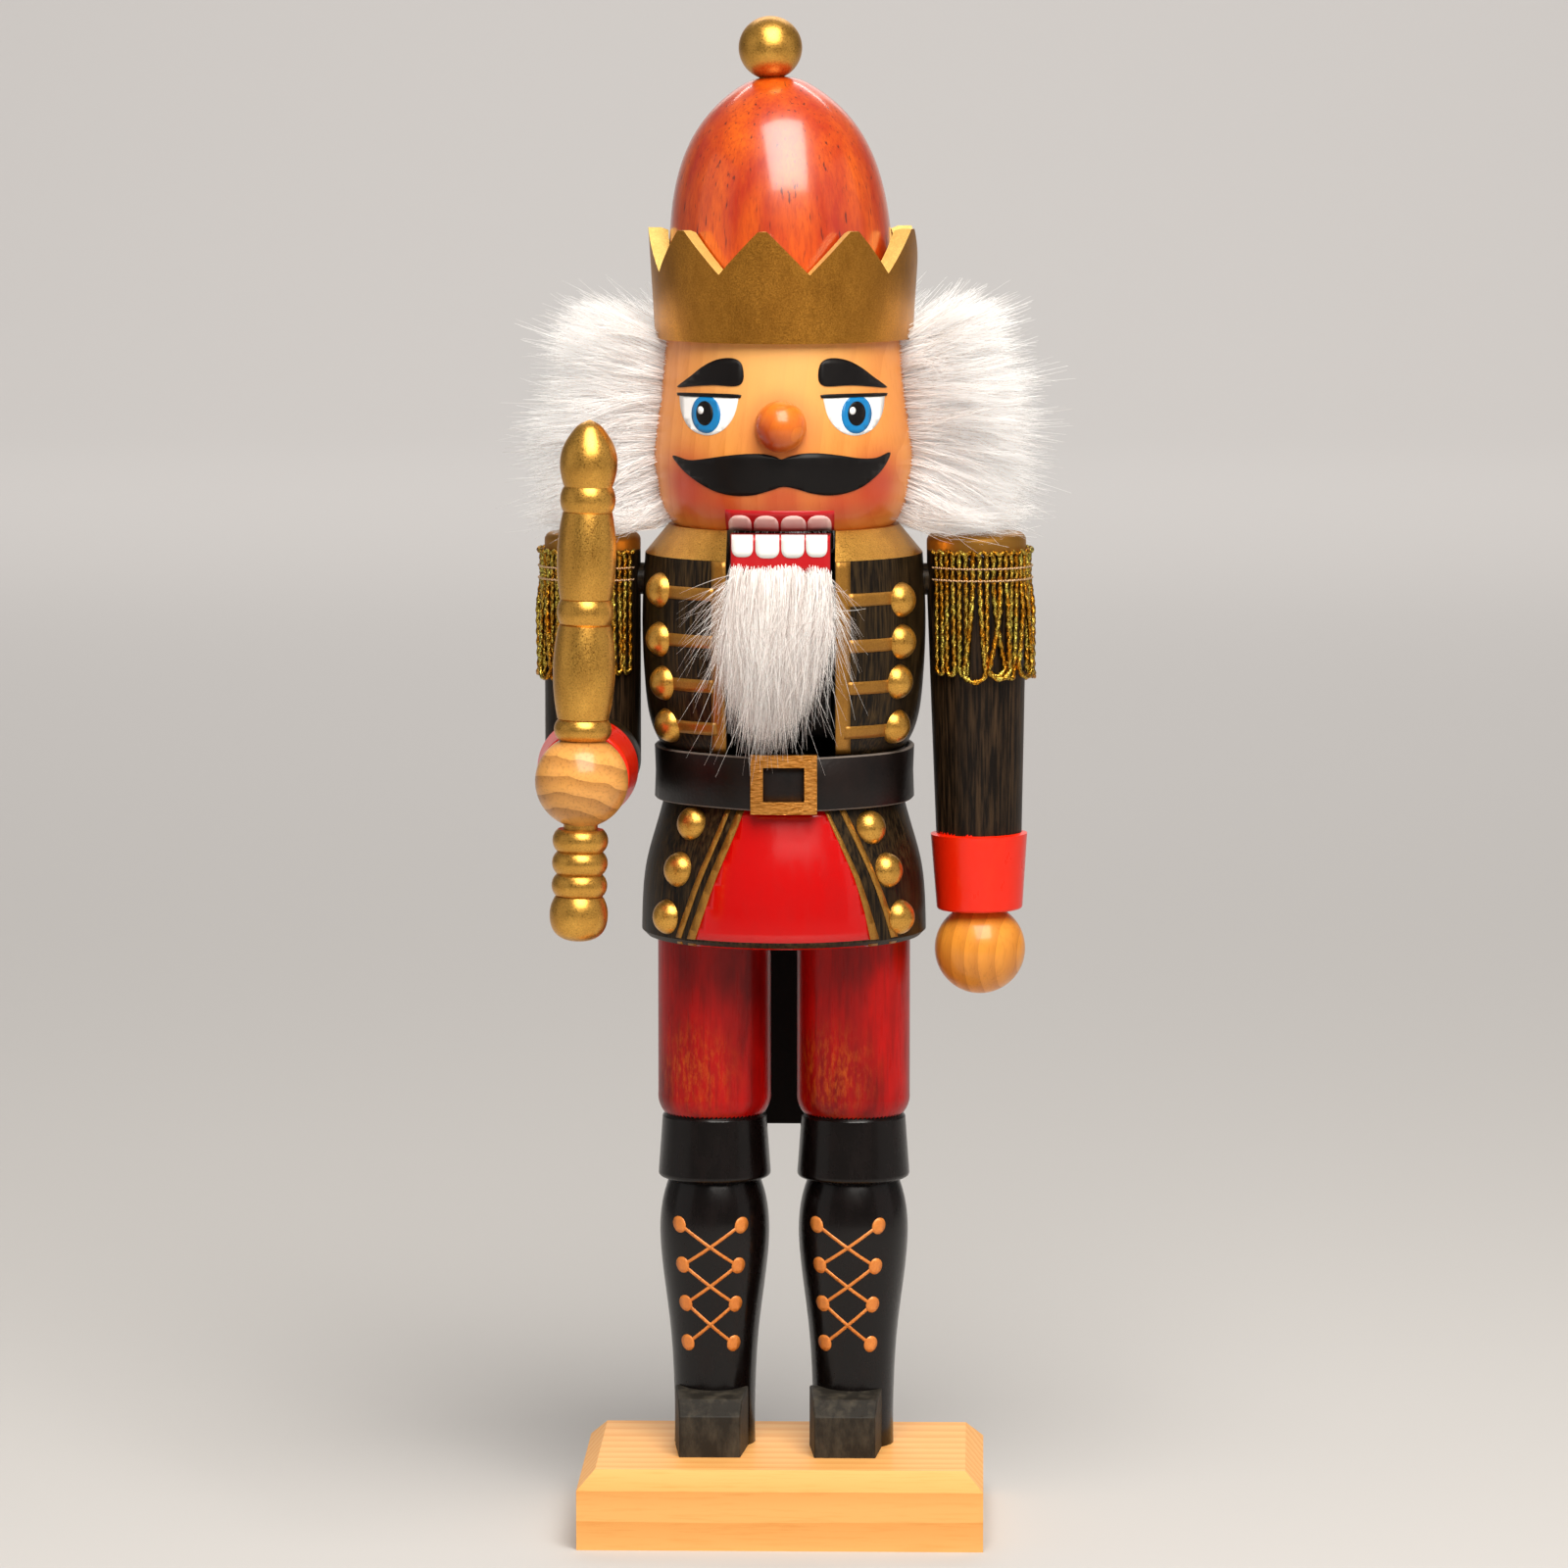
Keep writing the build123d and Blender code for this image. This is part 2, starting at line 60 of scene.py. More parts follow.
def make_stage():
    """The camera at the photograph's angle, a pale floor swept up behind, a dim sky and five lights."""
    scene = bpy.context.scene
    distance, height, yaw, pitch = 1.900, 0.399, radians(1.5), radians(6.338)
    camera = bpy.data.objects.new("camera", bpy.data.cameras.new("camera"))
    camera.data.sensor_width = 36
    camera.data.lens = 173.8
    camera.location = (distance * sin(yaw), -distance * cos(yaw), height)
    camera.rotation_euler = (pi / 2 - pitch, 0, yaw)
    scene.collection.objects.link(camera)
    scene.camera = camera
    scene.view_settings.view_transform = "Standard"

    floor_near, sweep_start, sweep_radius, wall_top, half_width = -8.0, 4.2, 1.8, 4.5, 9.0
    section = [(floor_near, 0.0), (sweep_start, 0.0)]
    section += [(sweep_start + sweep_radius * sin(turn), sweep_radius * (1 - cos(turn)))
                for turn in np.linspace(0, pi / 2, 17)[1:]]
    section += [(sweep_start + sweep_radius, wall_top)]
    verts = [(x, y, z) for y, z in section for x in (-half_width, half_width)]
    faces = [(2 * step, 2 * step + 1, 2 * step + 3, 2 * step + 2) for step in range(len(section) - 1)]
    floor_mesh = bpy.data.meshes.new("floor")
    floor_mesh.from_pydata(verts, [], faces)
    floor_mesh.polygons.foreach_set("use_smooth", [True] * len(faces))
    floor = bpy.data.objects.new("floor", floor_mesh)
    pale, _, _ = new_material("floor_pale", "Base Color", (0.55, 0.535, 0.52, 1), "Roughness", 0.9)
    floor_mesh.materials.append(pale)
    scene.collection.objects.link(floor)

    world = bpy.data.worlds.new("studio")
    world.use_nodes = True
    background = world.node_tree.nodes["Background"]
    background.inputs["Color"].default_value = (1.0, 0.97, 0.94, 1)
    background.inputs["Strength"].default_value = 0.17
    scene.world = world
    chest = (0.0, 0.0, 0.22)
    # Name, place, what it is aimed at, width, length, watts and colour.
    softboxes = [
        ("key", (0.19, -0.80, 1.30), chest, 0.95, 1.25, 34.0, (1.0, 0.96, 0.90)),
        ("left_fill", (-1.9, -0.6, 0.7), chest, 1.6, 1.6, 2.6, (1.0, 0.95, 0.92)),
        ("right_fill", (1.9, -0.5, 0.7), chest, 1.6, 1.6, 2.6, (1.0, 0.95, 0.92)),
        ("back", (0.0, 1.6, 1.4), chest, 1.4, 1.4, 4.5, (1.0, 0.97, 0.95)),
        ("backdrop", (0.0, 3.2, 3.2), (0.0, 4.9, 0.3), 4.0, 1.5, 130.0, (1.0, 0.97, 0.95)),
    ]
    for name, place, target, width, length, power, colour in softboxes:
        lamp = bpy.data.lights.new(name, "AREA")
        lamp.shape = "RECTANGLE"
        lamp.size, lamp.size_y, lamp.energy, lamp.color = width, length, power, colour
        holder = bpy.data.objects.new(name, lamp)
        holder.location = place
        holder.rotation_euler = (Vector(target) - Vector(place)).to_track_quat("-Z", "Y").to_euler()
        scene.collection.objects.link(holder)


# ---- node materials

def add(tree, kind, inputs=None, **attributes):
    """Shader node of a kind, with its attributes, and its inputs as values or as sockets to link from."""
    made = tree.nodes.new("ShaderNode" + kind)
    for key, value in attributes.items():
        setattr(made, key, value)
    for key, value in (inputs or {}).items():
        if isinstance(value, bpy.types.NodeSocket):
            tree.links.new(value, made.inputs[key])
        else:
            made.inputs[key].default_value = value
    return made


def metres(tree):
    """The shaded point in the object's own metres."""
    return add(tree, "TexCoord").outputs["Object"]


def new_material(name, *sockets):
    """Principled material with pairs of socket name and value set on the shader itself."""
    material = bpy.data.materials.new(name)
    material.use_nodes = True
    shader = material.node_tree.nodes["Principled BSDF"]
    for socket, value in zip(sockets[::2], sockets[1::2]):
        shader.inputs[socket].default_value = value
    return material, material.node_tree, shader


def varnished(name, coat, coat_roughness, specular):
    """New material under a clear coat."""
    return new_material(name, "Coat Weight", coat, "Coat Roughness", coat_roughness,
                        "Specular IOR Level", specular)


def feed(shader, socket, source):
    """Links a node's output to one of the shader's sockets."""
    shader.id_data.links.new(source, shader.inputs[socket])


def streaks(tree, stretch, seed=0.0, detail=6.0, roughness=0.6):
    """Noise with so many features per metre along each axis."""
    shift = (seed, seed * 0.7, seed * 1.3)
    moved = add(tree, "Mapping", {"Vector": metres(tree), "Location": shift, "Scale": stretch})
    return add(tree, "TexNoise", {"Vector": moved.outputs["Vector"], "Scale": 1.0, "Detail": detail,
                                  "Roughness": roughness}).outputs["Fac"]


def stepped(value, low, high, out_low=0.0, out_high=1.0):
    """Value mapped from low..high to out_low..out_high, clamped."""
    span = {"Value": value, "From Min": low, "From Max": high, "To Min": out_low, "To Max": out_high}
    return add(value.id_data, "MapRange", span).outputs["Result"]


def blended(share, first, second):
    """Colour mix: first where share is 0, second where it is 1; each a socket, or red, green and blue."""
    first, second = (value if isinstance(value, bpy.types.NodeSocket) else (*value, 1.0)
                     for value in (first, second))
    return add(share.id_data, "Mix", {0: share, 6: first, 7: second}, data_type="RGBA").outputs[2]


def times(first, second):
    return add(first.id_data, "Math", {0: first, 1: second}, operation="MULTIPLY").outputs[0]


def plus(first, second):
    return add(first.id_data, "Math", {0: first, 1: second}, operation="ADD").outputs[0]


def tinted(shader, noise, low, high, first, second):
    """Base colour that goes from first to second as a noise goes from low to high."""
    feed(shader, "Base Color", blended(stepped(noise, low, high), first, second))


def bumped(shader, height, strength, distance):
    """Bump on the shader's normal: distance in metres is its full height."""
    bump = add(shader.id_data, "Bump", {"Height": height, "Strength": strength, "Distance": distance})
    feed(shader, "Normal", bump.outputs["Normal"])


def height_above(tree, level, softness=0.0001):
    """1 above a height, 0 below."""
    parts = add(tree, "SeparateXYZ", {"Vector": metres(tree)})
    return stepped(parts.outputs["Z"], level - softness, level + softness)


def near(tree, centre, inner, outer):
    """1 inside the inner radius of a point, fading to 0 at the outer one."""
    away = add(tree, "VectorMath", {0: metres(tree), 1: centre}, operation="DISTANCE").outputs["Value"]
    span = {"Value": away, "From Min": inner, "From Max": outer, "To Min": 1.0, "To Max": 0.0}
    return add(tree, "MapRange", span, interpolation_type="SMOOTHSTEP").outputs["Result"]


def stained_wood(name, dark, light):
    """Stained, sealed wood with the grain along Z."""
    material, tree, shader = varnished(name, 0.04, 0.12, 0.15)
    fibre = streaks(tree, (1500, 1500, 70))
    broad = streaks(tree, (120, 120, 12), seed=3.1, detail=3.0)
    share = times(stepped(fibre, 0.42, 0.66), stepped(broad, 0.3, 0.7, 0.45, 1.0))
    feed(shader, "Base Color", blended(share, dark, light))
    feed(shader, "Roughness", stepped(fibre, 0.3, 0.8, 0.36, 0.54))
    bumped(shader, fibre, 0.3, 0.0002)
    return material


def metallic_paint(name, dark, light, roughness, metallic, bump=0.2):
    """Bronze paint: fine flakes over slow brushing variation."""
    material, tree, shader = new_material(name, "Metallic", metallic, "Coat Weight", 0.12,
                                          "Coat Roughness", 0.3)
    flakes = streaks(tree, (2600, 2600, 2600), detail=2.0)
    cloudy = streaks(tree, (180, 180, 90), seed=1.7, detail=5.0)
    share = times(stepped(flakes, 0.35, 0.65, 0.5, 1.0), stepped(cloudy, 0.3, 0.7, 0.55, 1.0))
    feed(shader, "Base Color", blended(share, dark, light))
    feed(shader, "Roughness", stepped(flakes, 0.3, 0.7, roughness - 0.08, roughness + 0.1))
    bumped(shader, plus(flakes, cloudy), bump, 0.00012)
    return material


def gloss_paint(name, colour, worn, roughness, coat, specular=0.3, share=0.35, bump=0.12):
    """Brushed enamel with a slight unevenness and small dust nibs."""
    material, tree, shader = varnished(name, coat, 0.08, specular)
    uneven = streaks(tree, (260, 260, 110), detail=4.0)
    nibs = streaks(tree, (1900, 1900, 1900), seed=5.0, detail=1.0)
    amount = stepped(uneven, 0.45, 0.8, 0.0, share)
    feed(shader, "Base Color", blended(amount, colour, worn))
    feed(shader, "Roughness", stepped(uneven, 0.3, 0.7, roughness, roughness + 0.12))
    bumped(shader, plus(uneven, stepped(nibs, 0.68, 0.8, 0.0, 0.6)), bump, 0.0002)
    return material


def ringed_wood(name, pale, deep, centre, axis_turn, ring_scale, roughness=0.32, coat=0.35,
                distortion=1.6, stretch=(1.0, 1.0, 0.12), contrast=0.7):
    """Natural wood with growth rings round a slanted axis and fine pores along it."""
    material, tree, shader = varnished(name, coat, 0.12, 0.3)
    turned = add(tree, "Mapping", {"Vector": metres(tree), "Location": centre, "Rotation": axis_turn},
                 vector_type="TEXTURE").outputs["Vector"]
    along = add(tree, "VectorMath", {0: turned, 1: stretch}, operation="MULTIPLY").outputs["Vector"]
    rings = add(tree, "TexWave", {"Vector": along, "Scale": ring_scale, "Distortion": distortion,
                                  "Detail": 3.0, "Detail Scale": 0.8, "Detail Roughness": 0.55},
                wave_type="RINGS", rings_direction="Z", wave_profile="SAW")
    pores = add(tree, "TexNoise", {"Vector": along, "Scale": 1500.0, "Detail": 5.0, "Roughness": 0.6})
    ring_share = stepped(rings.outputs["Fac"], 0.3, 1.0, 0.0, contrast)
    pore_share = stepped(pores.outputs["Fac"], 0.5, 0.72, 0.0, 0.35)
    share = add(tree, "Math", {0: ring_share, 1: pore_share}, operation="ADD",
                use_clamp=True).outputs[0]
    feed(shader, "Base Color", blended(share, pale, deep))
    feed(shader, "Roughness", stepped(share, 0.0, 1.0, roughness, roughness + 0.14))
    bumped(shader, share, 0.18, 0.00015)
    return material


def reopened(material):
    """A finished material's node tree, shader and base colour, for more to be laid over it."""
    tree = material.node_tree
    shader = tree.nodes["Principled BSDF"]
    return tree, shader, shader.inputs["Base Color"].links[0].from_socket


def face_wood():
    """Varnished head: blush on cheeks and by the nose; painted shade under the moustache; painted light on
    the forehead.
    """
    material = ringed_wood("face_wood", (0.76, 0.28, 0.055), (0.62, 0.19, 0.028), (-0.14, 0.03, 0.27),
                           (0.03, 0.04, 0), 70, roughness=0.34, coat=0.35, distortion=2.0, contrast=0.45)
    tree, shader, wood = reopened(material)
    # Painted light: the upper middle of the face is lightened and yellowed where the light falls.
    wood = blended(times(near(tree, (0.0, -0.034, 0.299), 0.006, 0.032), 0.75), wood,
                   (0.90, 0.48, 0.15))
    blush = (0.50, 0.028, 0.004)
    for centre, inner, outer, strength in (
        ((-0.0235, -0.0225, 0.2645), 0.002, 0.0145, 0.90),
        ((0.0235, -0.0225, 0.2645), 0.002, 0.0145, 0.90),
        ((0.0, -0.0325, 0.2790), 0.004, 0.0130, 0.40),
        # Painted shade: the next three patches lay the blush red under the moustache and at the mouth's
        # corners, where shade falls.
        ((0.0, -0.0310, 0.2610), 0.002, 0.0120, 0.75),
        ((-0.0140, -0.0290, 0.2600), 0.001, 0.0110, 0.80),
        ((0.0140, -0.0290, 0.2600), 0.001, 0.0110, 0.80),
    ):
        patchy = times(near(tree, centre, inner, outer), strength)
        wood = blended(patchy, wood, blush)
    feed(shader, "Base Color", wood)
    return material


def nose_wood():
    """Varnished orange ball, with painted shade in dark red on its lower right."""
    material = ringed_wood("nose_wood", (0.74, 0.185, 0.016), (0.58, 0.090, 0.007), (-0.04, 0.0, 0.28),
                           (0.1, 0.3, 0), 90, 0.3, 0.4, contrast=0.4)
    tree, shader, wood = reopened(material)
    low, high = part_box("nose")
    # Painted shade: a dark red spot low on the front of the nose, on its side away from the light.
    rubbed = (low.x * 0.85 + high.x * 0.15, low.y + 0.004, low.z * 0.8 + high.z * 0.2)
    red = times(near(tree, rubbed, 0.002, 0.0095), 0.85)
    feed(shader, "Base Color", blended(red, wood, (0.36, 0.018, 0.003)))
    return material


def cap_wood():
    """Orange stain under gloss varnish, with darker streaks and short dark pores."""
    material, tree, shader = varnished("cap_wood", 1.0, 0.15, 0.45)
    shader.inputs["Roughness"].default_value = 0.36
    tint = streaks(tree, (110, 110, 30), detail=5.0)
    fibre = streaks(tree, (1500, 1500, 230), seed=2.0, detail=4.0)
    pores = streaks(tree, (1250, 1250, 150), seed=9.0, detail=2.0, roughness=0.4)
    colour = blended(stepped(tint, 0.3, 0.72), (0.42, 0.020, 0.001), (0.74, 0.115, 0.001))
    colour = blended(stepped(fibre, 0.45, 0.75, 0.0, 0.55), colour, (0.30, 0.013, 0.001))
    colour = blended(stepped(pores, 0.64, 0.72, 0.0, 0.9), colour, (0.10, 0.010, 0.004))
    feed(shader, "Base Color", colour)
    bumped(shader, pores, 0.12, 0.0001)
    return material


def trouser_stain():
    """Dark red stain, rubbed through to orange low on the thighs."""
    material, tree, shader = varnished("trouser_stain", 0.12, 0.12, 0.18)
    fibre = streaks(tree, (900, 900, 60), detail=5.0)
    broad = streaks(tree, (90, 90, 26), seed=4.0, detail=4.0)
    rubbed = streaks(tree, (900, 900, 300), seed=6.0, detail=6.0, roughness=0.75)
    colour = blended(stepped(broad, 0.35, 0.7), (0.19, 0.001, 0.001), (0.56, 0.003, 0.0015))
    colour = blended(stepped(fibre, 0.5, 0.8, 0.0, 0.6), colour, (0.06, 0.002, 0.001))
    for x in (-0.0225, 0.0125):
        patch = near(tree, (x, -0.0125, 0.1170), 0.002, 0.0155)
        colour = blended(times(patch, stepped(rubbed, 0.46, 0.66, 0.0, 0.7)), colour,
                         (0.56, 0.10, 0.006))
    feed(shader, "Base Color", colour)
    feed(shader, "Roughness", stepped(fibre, 0.3, 0.7, 0.24, 0.4))
    bumped(shader, fibre, 0.15, 0.0002)
    return material


def pine():
    """Bare pine board, grain along X, growth rings showing as arcs on the ends."""
    return ringed_wood("pine", (0.90, 0.47, 0.14), (0.80, 0.31, 0.065), (0.0, 0.09, -0.075),
                       (0.0, pi / 2, 0.0), 62, roughness=0.5, coat=0.1, distortion=3.2,
                       stretch=(1.0, 1.0, 0.06), contrast=0.6)


def sleeve_stain(name, gold_level):
    """Black stained sleeve whose shoulder end is painted gold."""
    material = stained_wood(name, (0.006, 0.0035, 0.002), (0.070, 0.038, 0.017))
    tree, shader, stain = reopened(material)
    gold_share = height_above(tree, gold_level)
    rough = shader.inputs["Roughness"].links[0].from_socket
    feed(shader, "Base Color", blended(gold_share, stain, (0.46, 0.22, 0.04)))
    feed(shader, "Metallic", times(gold_share, 0.85))
    feed(shader, "Roughness", plus(rough, times(gold_share, 0.05)))
    return material


def buckle_gold():
    """Stamped gold with a close horizontal strike."""
    material, tree, shader = new_material("buckle_gold", "Metallic", 1.0)
    strike = streaks(tree, (500, 500, 3200), detail=2.0)
    fleck = streaks(tree, (2300, 2300, 2300), seed=2.0, detail=1.0)
    tinted(shader, strike, 0.35, 0.65, (0.44, 0.15, 0.02), (0.92, 0.42, 0.10))
    feed(shader, "Roughness", stepped(fleck, 0.3, 0.7, 0.28, 0.46))
    bumped(shader, strike, 0.5, 0.00025)
    return material


def belt_leather():
    """Black pebbled leather, a little browner where it is rubbed."""
    material, tree, shader = new_material("belt_leather", "Specular IOR Level", 0.28)
    pebble = add(tree, "TexVoronoi", {"Vector": metres(tree), "Scale": 1100.0})
    rub = streaks(tree, (140, 140, 60), detail=4.0)
    tinted(shader, rub, 0.4, 0.8, (0.004, 0.002, 0.0015), (0.012, 0.005, 0.0035))
    feed(shader, "Roughness", stepped(rub, 0.3, 0.7, 0.36, 0.5))
    bumped(shader, pebble.outputs["Distance"], 0.25, 0.00015)
    return material


def cord_gold():
    """Twisted metallic cord: bright yarn with darker specks, painted shade for the gaps between its turns.
    """
    material, tree, shader = new_material("cord_gold", "Metallic", 1.0)
    glitter_and_shade = streaks(tree, (2400, 2400, 2400), detail=2.0)
    hue = streaks(tree, (420, 420, 160), seed=3.0, detail=2.0)
    yarn = blended(stepped(hue, 0.4, 0.62), (0.85, 0.34, 0.02), (1.0, 0.86, 0.16))
    # Painted shade: the darker specks stand for the shaded gaps between the cord's turns.
    tinted(shader, glitter_and_shade, 0.42, 0.60, (0.13, 0.055, 0.004), yarn)
    feed(shader, "Roughness", stepped(glitter_and_shade, 0.3, 0.7, 0.5, 0.18))
    bumped(shader, glitter_and_shade, 0.7, 0.0003)
    return material


def dress(node, *materials):
    """Gives a frame node its materials."""
    slots = nodes[node].data.materials
    slots.clear()
    for material in materials:
        slots.append(material)


def two_tone(node, main, other, chosen):
    """Frame node with another material on its chosen faces."""
    dress(node, main, other)
    for face in nodes[node].data.polygons:
        face.material_index = int(chosen(face))


BLACK_GLOSS = gloss_paint("boot_black", (0.003, 0.0015, 0.0012), (0.009, 0.002, 0.0015), 0.2, 0.15, 0.26)
BLACK_MATT = gloss_paint("toe_black", (0.016, 0.013, 0.009), (0.085, 0.07, 0.048), 0.55, 0.0, 0.3, 0.9, 1.0)
GOLD = metallic_paint("gold_paint", (0.38, 0.155, 0.018), (0.86, 0.47, 0.09), 0.33, 0.92)
GOLD_DULL = metallic_paint("crown_gold", (0.24, 0.085, 0.006), (0.64, 0.285, 0.038), 0.38, 0.95, bump=0.35)
GOLD_TRIM = metallic_paint("trim_gold", (0.22, 0.09, 0.010), (0.50, 0.235, 0.035), 0.42, 0.70)
# Painted light: a paler, less metallic gold for the crown's upward faces, lighter where light falls from
# above.
GOLD_LIT_TOPS = metallic_paint("lit_top_gold", (0.52, 0.30, 0.05), (0.92, 0.66, 0.20), 0.48, 0.35)
LACE = metallic_paint("lace_gold", (0.62, 0.15, 0.018), (0.86, 0.30, 0.055), 0.4, 0.2)
COAT = stained_wood("coat_stain", (0.005, 0.003, 0.0015), (0.070, 0.040, 0.014))
CUFF_RED = gloss_paint("cuff_red", (0.84, 0.016, 0.001), (0.88, 0.035, 0.002), 0.26, 0.2)
PANEL_RED = gloss_paint("panel_red", (0.54, 0.001, 0.001), (0.42, 0.001, 0.001), 0.14, 0.45)
MOUTH_RED = gloss_paint("mouth_red", (0.50, 0.006, 0.010), (0.58, 0.03, 0.03), 0.32, 0.3)
TOOTH = gloss_paint("tooth_white", (0.90, 0.90, 0.87), (0.82, 0.80, 0.76), 0.28, 0.4)
TOOTH_PINK = gloss_paint("tooth_upper", (0.92, 0.56, 0.52), (0.90, 0.70, 0.66), 0.28, 0.4)
EYE_WHITE = gloss_paint("eye_white", (0.90, 0.90, 0.89), (0.82, 0.82, 0.80), 0.28, 0.3)
EYE_BLUE = gloss_paint("eye_blue", (0.004, 0.18, 0.45), (0.008, 0.25, 0.54), 0.3, 0.2)
FACE_BLACK = gloss_paint("face_black", (0.003, 0.002, 0.002), (0.008, 0.005, 0.004), 0.42, 0.05, 0.2)
JAW_BLACK = gloss_paint("jaw_black", (0.004, 0.003, 0.003), (0.009, 0.006, 0.005), 0.55, 0.0, 0.12)
# Red lip paint darkened as painted shade, for the lip's top and front edge where the upper and lower teeth
# meet.
LIP_RED_SHADED = gloss_paint("lip_red_shaded", (0.16, 0.003, 0.003), (0.22, 0.01, 0.01), 0.5, 0.0, 0.12)
# Heights of the paint lines, and how far back the bent arm's cuff goes.
BOOT_TOP, COLLAR, LIP, SHOULDER_GOLD, CUFF_TOP = 0.1046, 0.2469, 0.2530, 0.2476, 0.1762
CUFF_BACK = -0.0262


def dress_frame():
    """Materials for every frame node, with paint lines on the edges of its turned steps."""
    dress("base_plate", pine())
    for side in ("left", "right"):
        two_tone(f"{side}_leg", BLACK_GLOSS, trousers, lambda face: face.center.z > BOOT_TOP)
        dress(f"{side}_shoe_toe", BLACK_MATT)
    two_tone("torso", COAT, GOLD, lambda face: face.center.z > COLLAR)
    lip_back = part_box("jaw_lever")[0].y + 0.0075
    # The lip's top and front edge take the red darkened as painted shade.
    two_tone("jaw_lever", JAW_BLACK, LIP_RED_SHADED, lambda face: face.center.z > LIP and face.center.y < lip_back)
    dress("belt_buckle", buckle_gold())
    for node in ("chest_buttons", "skirt_buttons", "finial_ball", "scepter_shaft", "scepter_grip"):
        dress(node, GOLD)
    # The crown's upward-facing faces take the paler gold as painted light.
    two_tone("crown", GOLD_DULL, GOLD_LIT_TOPS, lambda face: face.normal.z > 0.35)
    dress("cap", cap_wood())
    dress("head", face_wood())
    dress("nose", nose_wood())
    left_sleeve = sleeve_stain("left_sleeve", SHOULDER_GOLD)
    two_tone("left_arm", CUFF_RED, left_sleeve, lambda face: face.center.z > CUFF_TOP)
    dress("right_upper_arm", sleeve_stain("right_sleeve", SHOULDER_GOLD))
    two_tone("right_forearm", CUFF_RED, COAT, lambda face: face.center.y > CUFF_BACK)
    dress("left_hand", ringed_wood("left_hand_wood", (0.80, 0.30, 0.035), (0.48, 0.14, 0.014),
                                   (0.012, 0.006, 0.14), (0.06, 0.05, 0), 85, distortion=2.2, contrast=0.5))
    dress("right_hand", ringed_wood("right_hand_wood", (0.78, 0.36, 0.085), (0.22, 0.070, 0.012),
                                    (-0.052, -0.055, 0.172), (pi / 2, 0.15, 0), 75, distortion=4.5,
                                    contrast=0.55))
    plain_dowel = ringed_wood("dowel_wood", (0.76, 0.56, 0.32), (0.62, 0.42, 0.2),
                              (0, 0, 0), (0, 0, 0), 300)
    for node in ("hip_dowels", "neck_dowels", "right_elbow_dowel"):
        dress(node, plain_dowel)
    for side in ("left", "right"):
        dress(f"{side}_shoulder_dowel", COAT)
    steel = metallic_paint("steel", (0.45, 0.45, 0.44), (0.62, 0.62, 0.60), 0.3, 1.0)
    for node in ("jaw_pin", "base_screws"):
        dress(node, steel)


# ---- mesh helpers

def placed(mesh, body):
    """Object of the mesh's name, linked to the scene, that rides on a body if one is given."""
    made = bpy.data.objects.new(mesh.name, mesh)
    bpy.context.scene.collection.objects.link(made)
    if body:
        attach(made, body)
    return made


def piece(name, verts, faces, materials, body, slot, indices=None):
    """Smooth mesh piece, with one material or an index for each face."""
    mesh = bpy.data.meshes.new(name)
    mesh.from_pydata(verts, [], faces)
    mesh.update()
    for material in materials:
        mesh.materials.append(material)
    mesh.polygons.foreach_set("use_smooth", [True] * len(mesh.polygons))
    if indices is not None:
        mesh.polygons.foreach_set("material_index", indices)
    return placed(mesh, body)


def skin(rings, count, looped=False):
    """Faces over rings of count points: looped back to the first ring, or capped at both ends."""
    faces = []
    for ring in range(rings if looped else rings - 1):
        a, b = ring * count, (ring + 1) % rings * count
        for index in range(count):
            after = (index + 1) % count
            faces.append((a + index, a + after, b + after, b + index))
    if not looped:
        faces.append(tuple(range(count))[::-1])
        faces.append(tuple((rings - 1) * count + index for index in range(count)))
    return faces


def tree_of(node):
    """Ray-casting tree of a frame node."""
    mesh = nodes[node].data
    return BVHTree.FromPolygons([v.co for v in mesh.vertices], [p.vertices for p in mesh.polygons])


def from_front(node):
    """Projects (x, z) in millimetres straight back onto a node."""
    tree = tree_of(node)
    return lambda u, v: tree.ray_cast(Vector((u * MM, -0.3, v * MM)), Vector((0, 1, 0)))[:2]


def from_round(node, radius):
    """Projects (arc length round the front, z) in millimetres inwards onto a turned node."""
    tree = tree_of(node)

    def cast(u, v):
        angle = u / radius
        outward = Vector((sin(angle), -cos(angle), 0))
        return tree.ray_cast(Vector((0, 0, v * MM)) + outward * 0.12, -outward)[:2]
    return cast


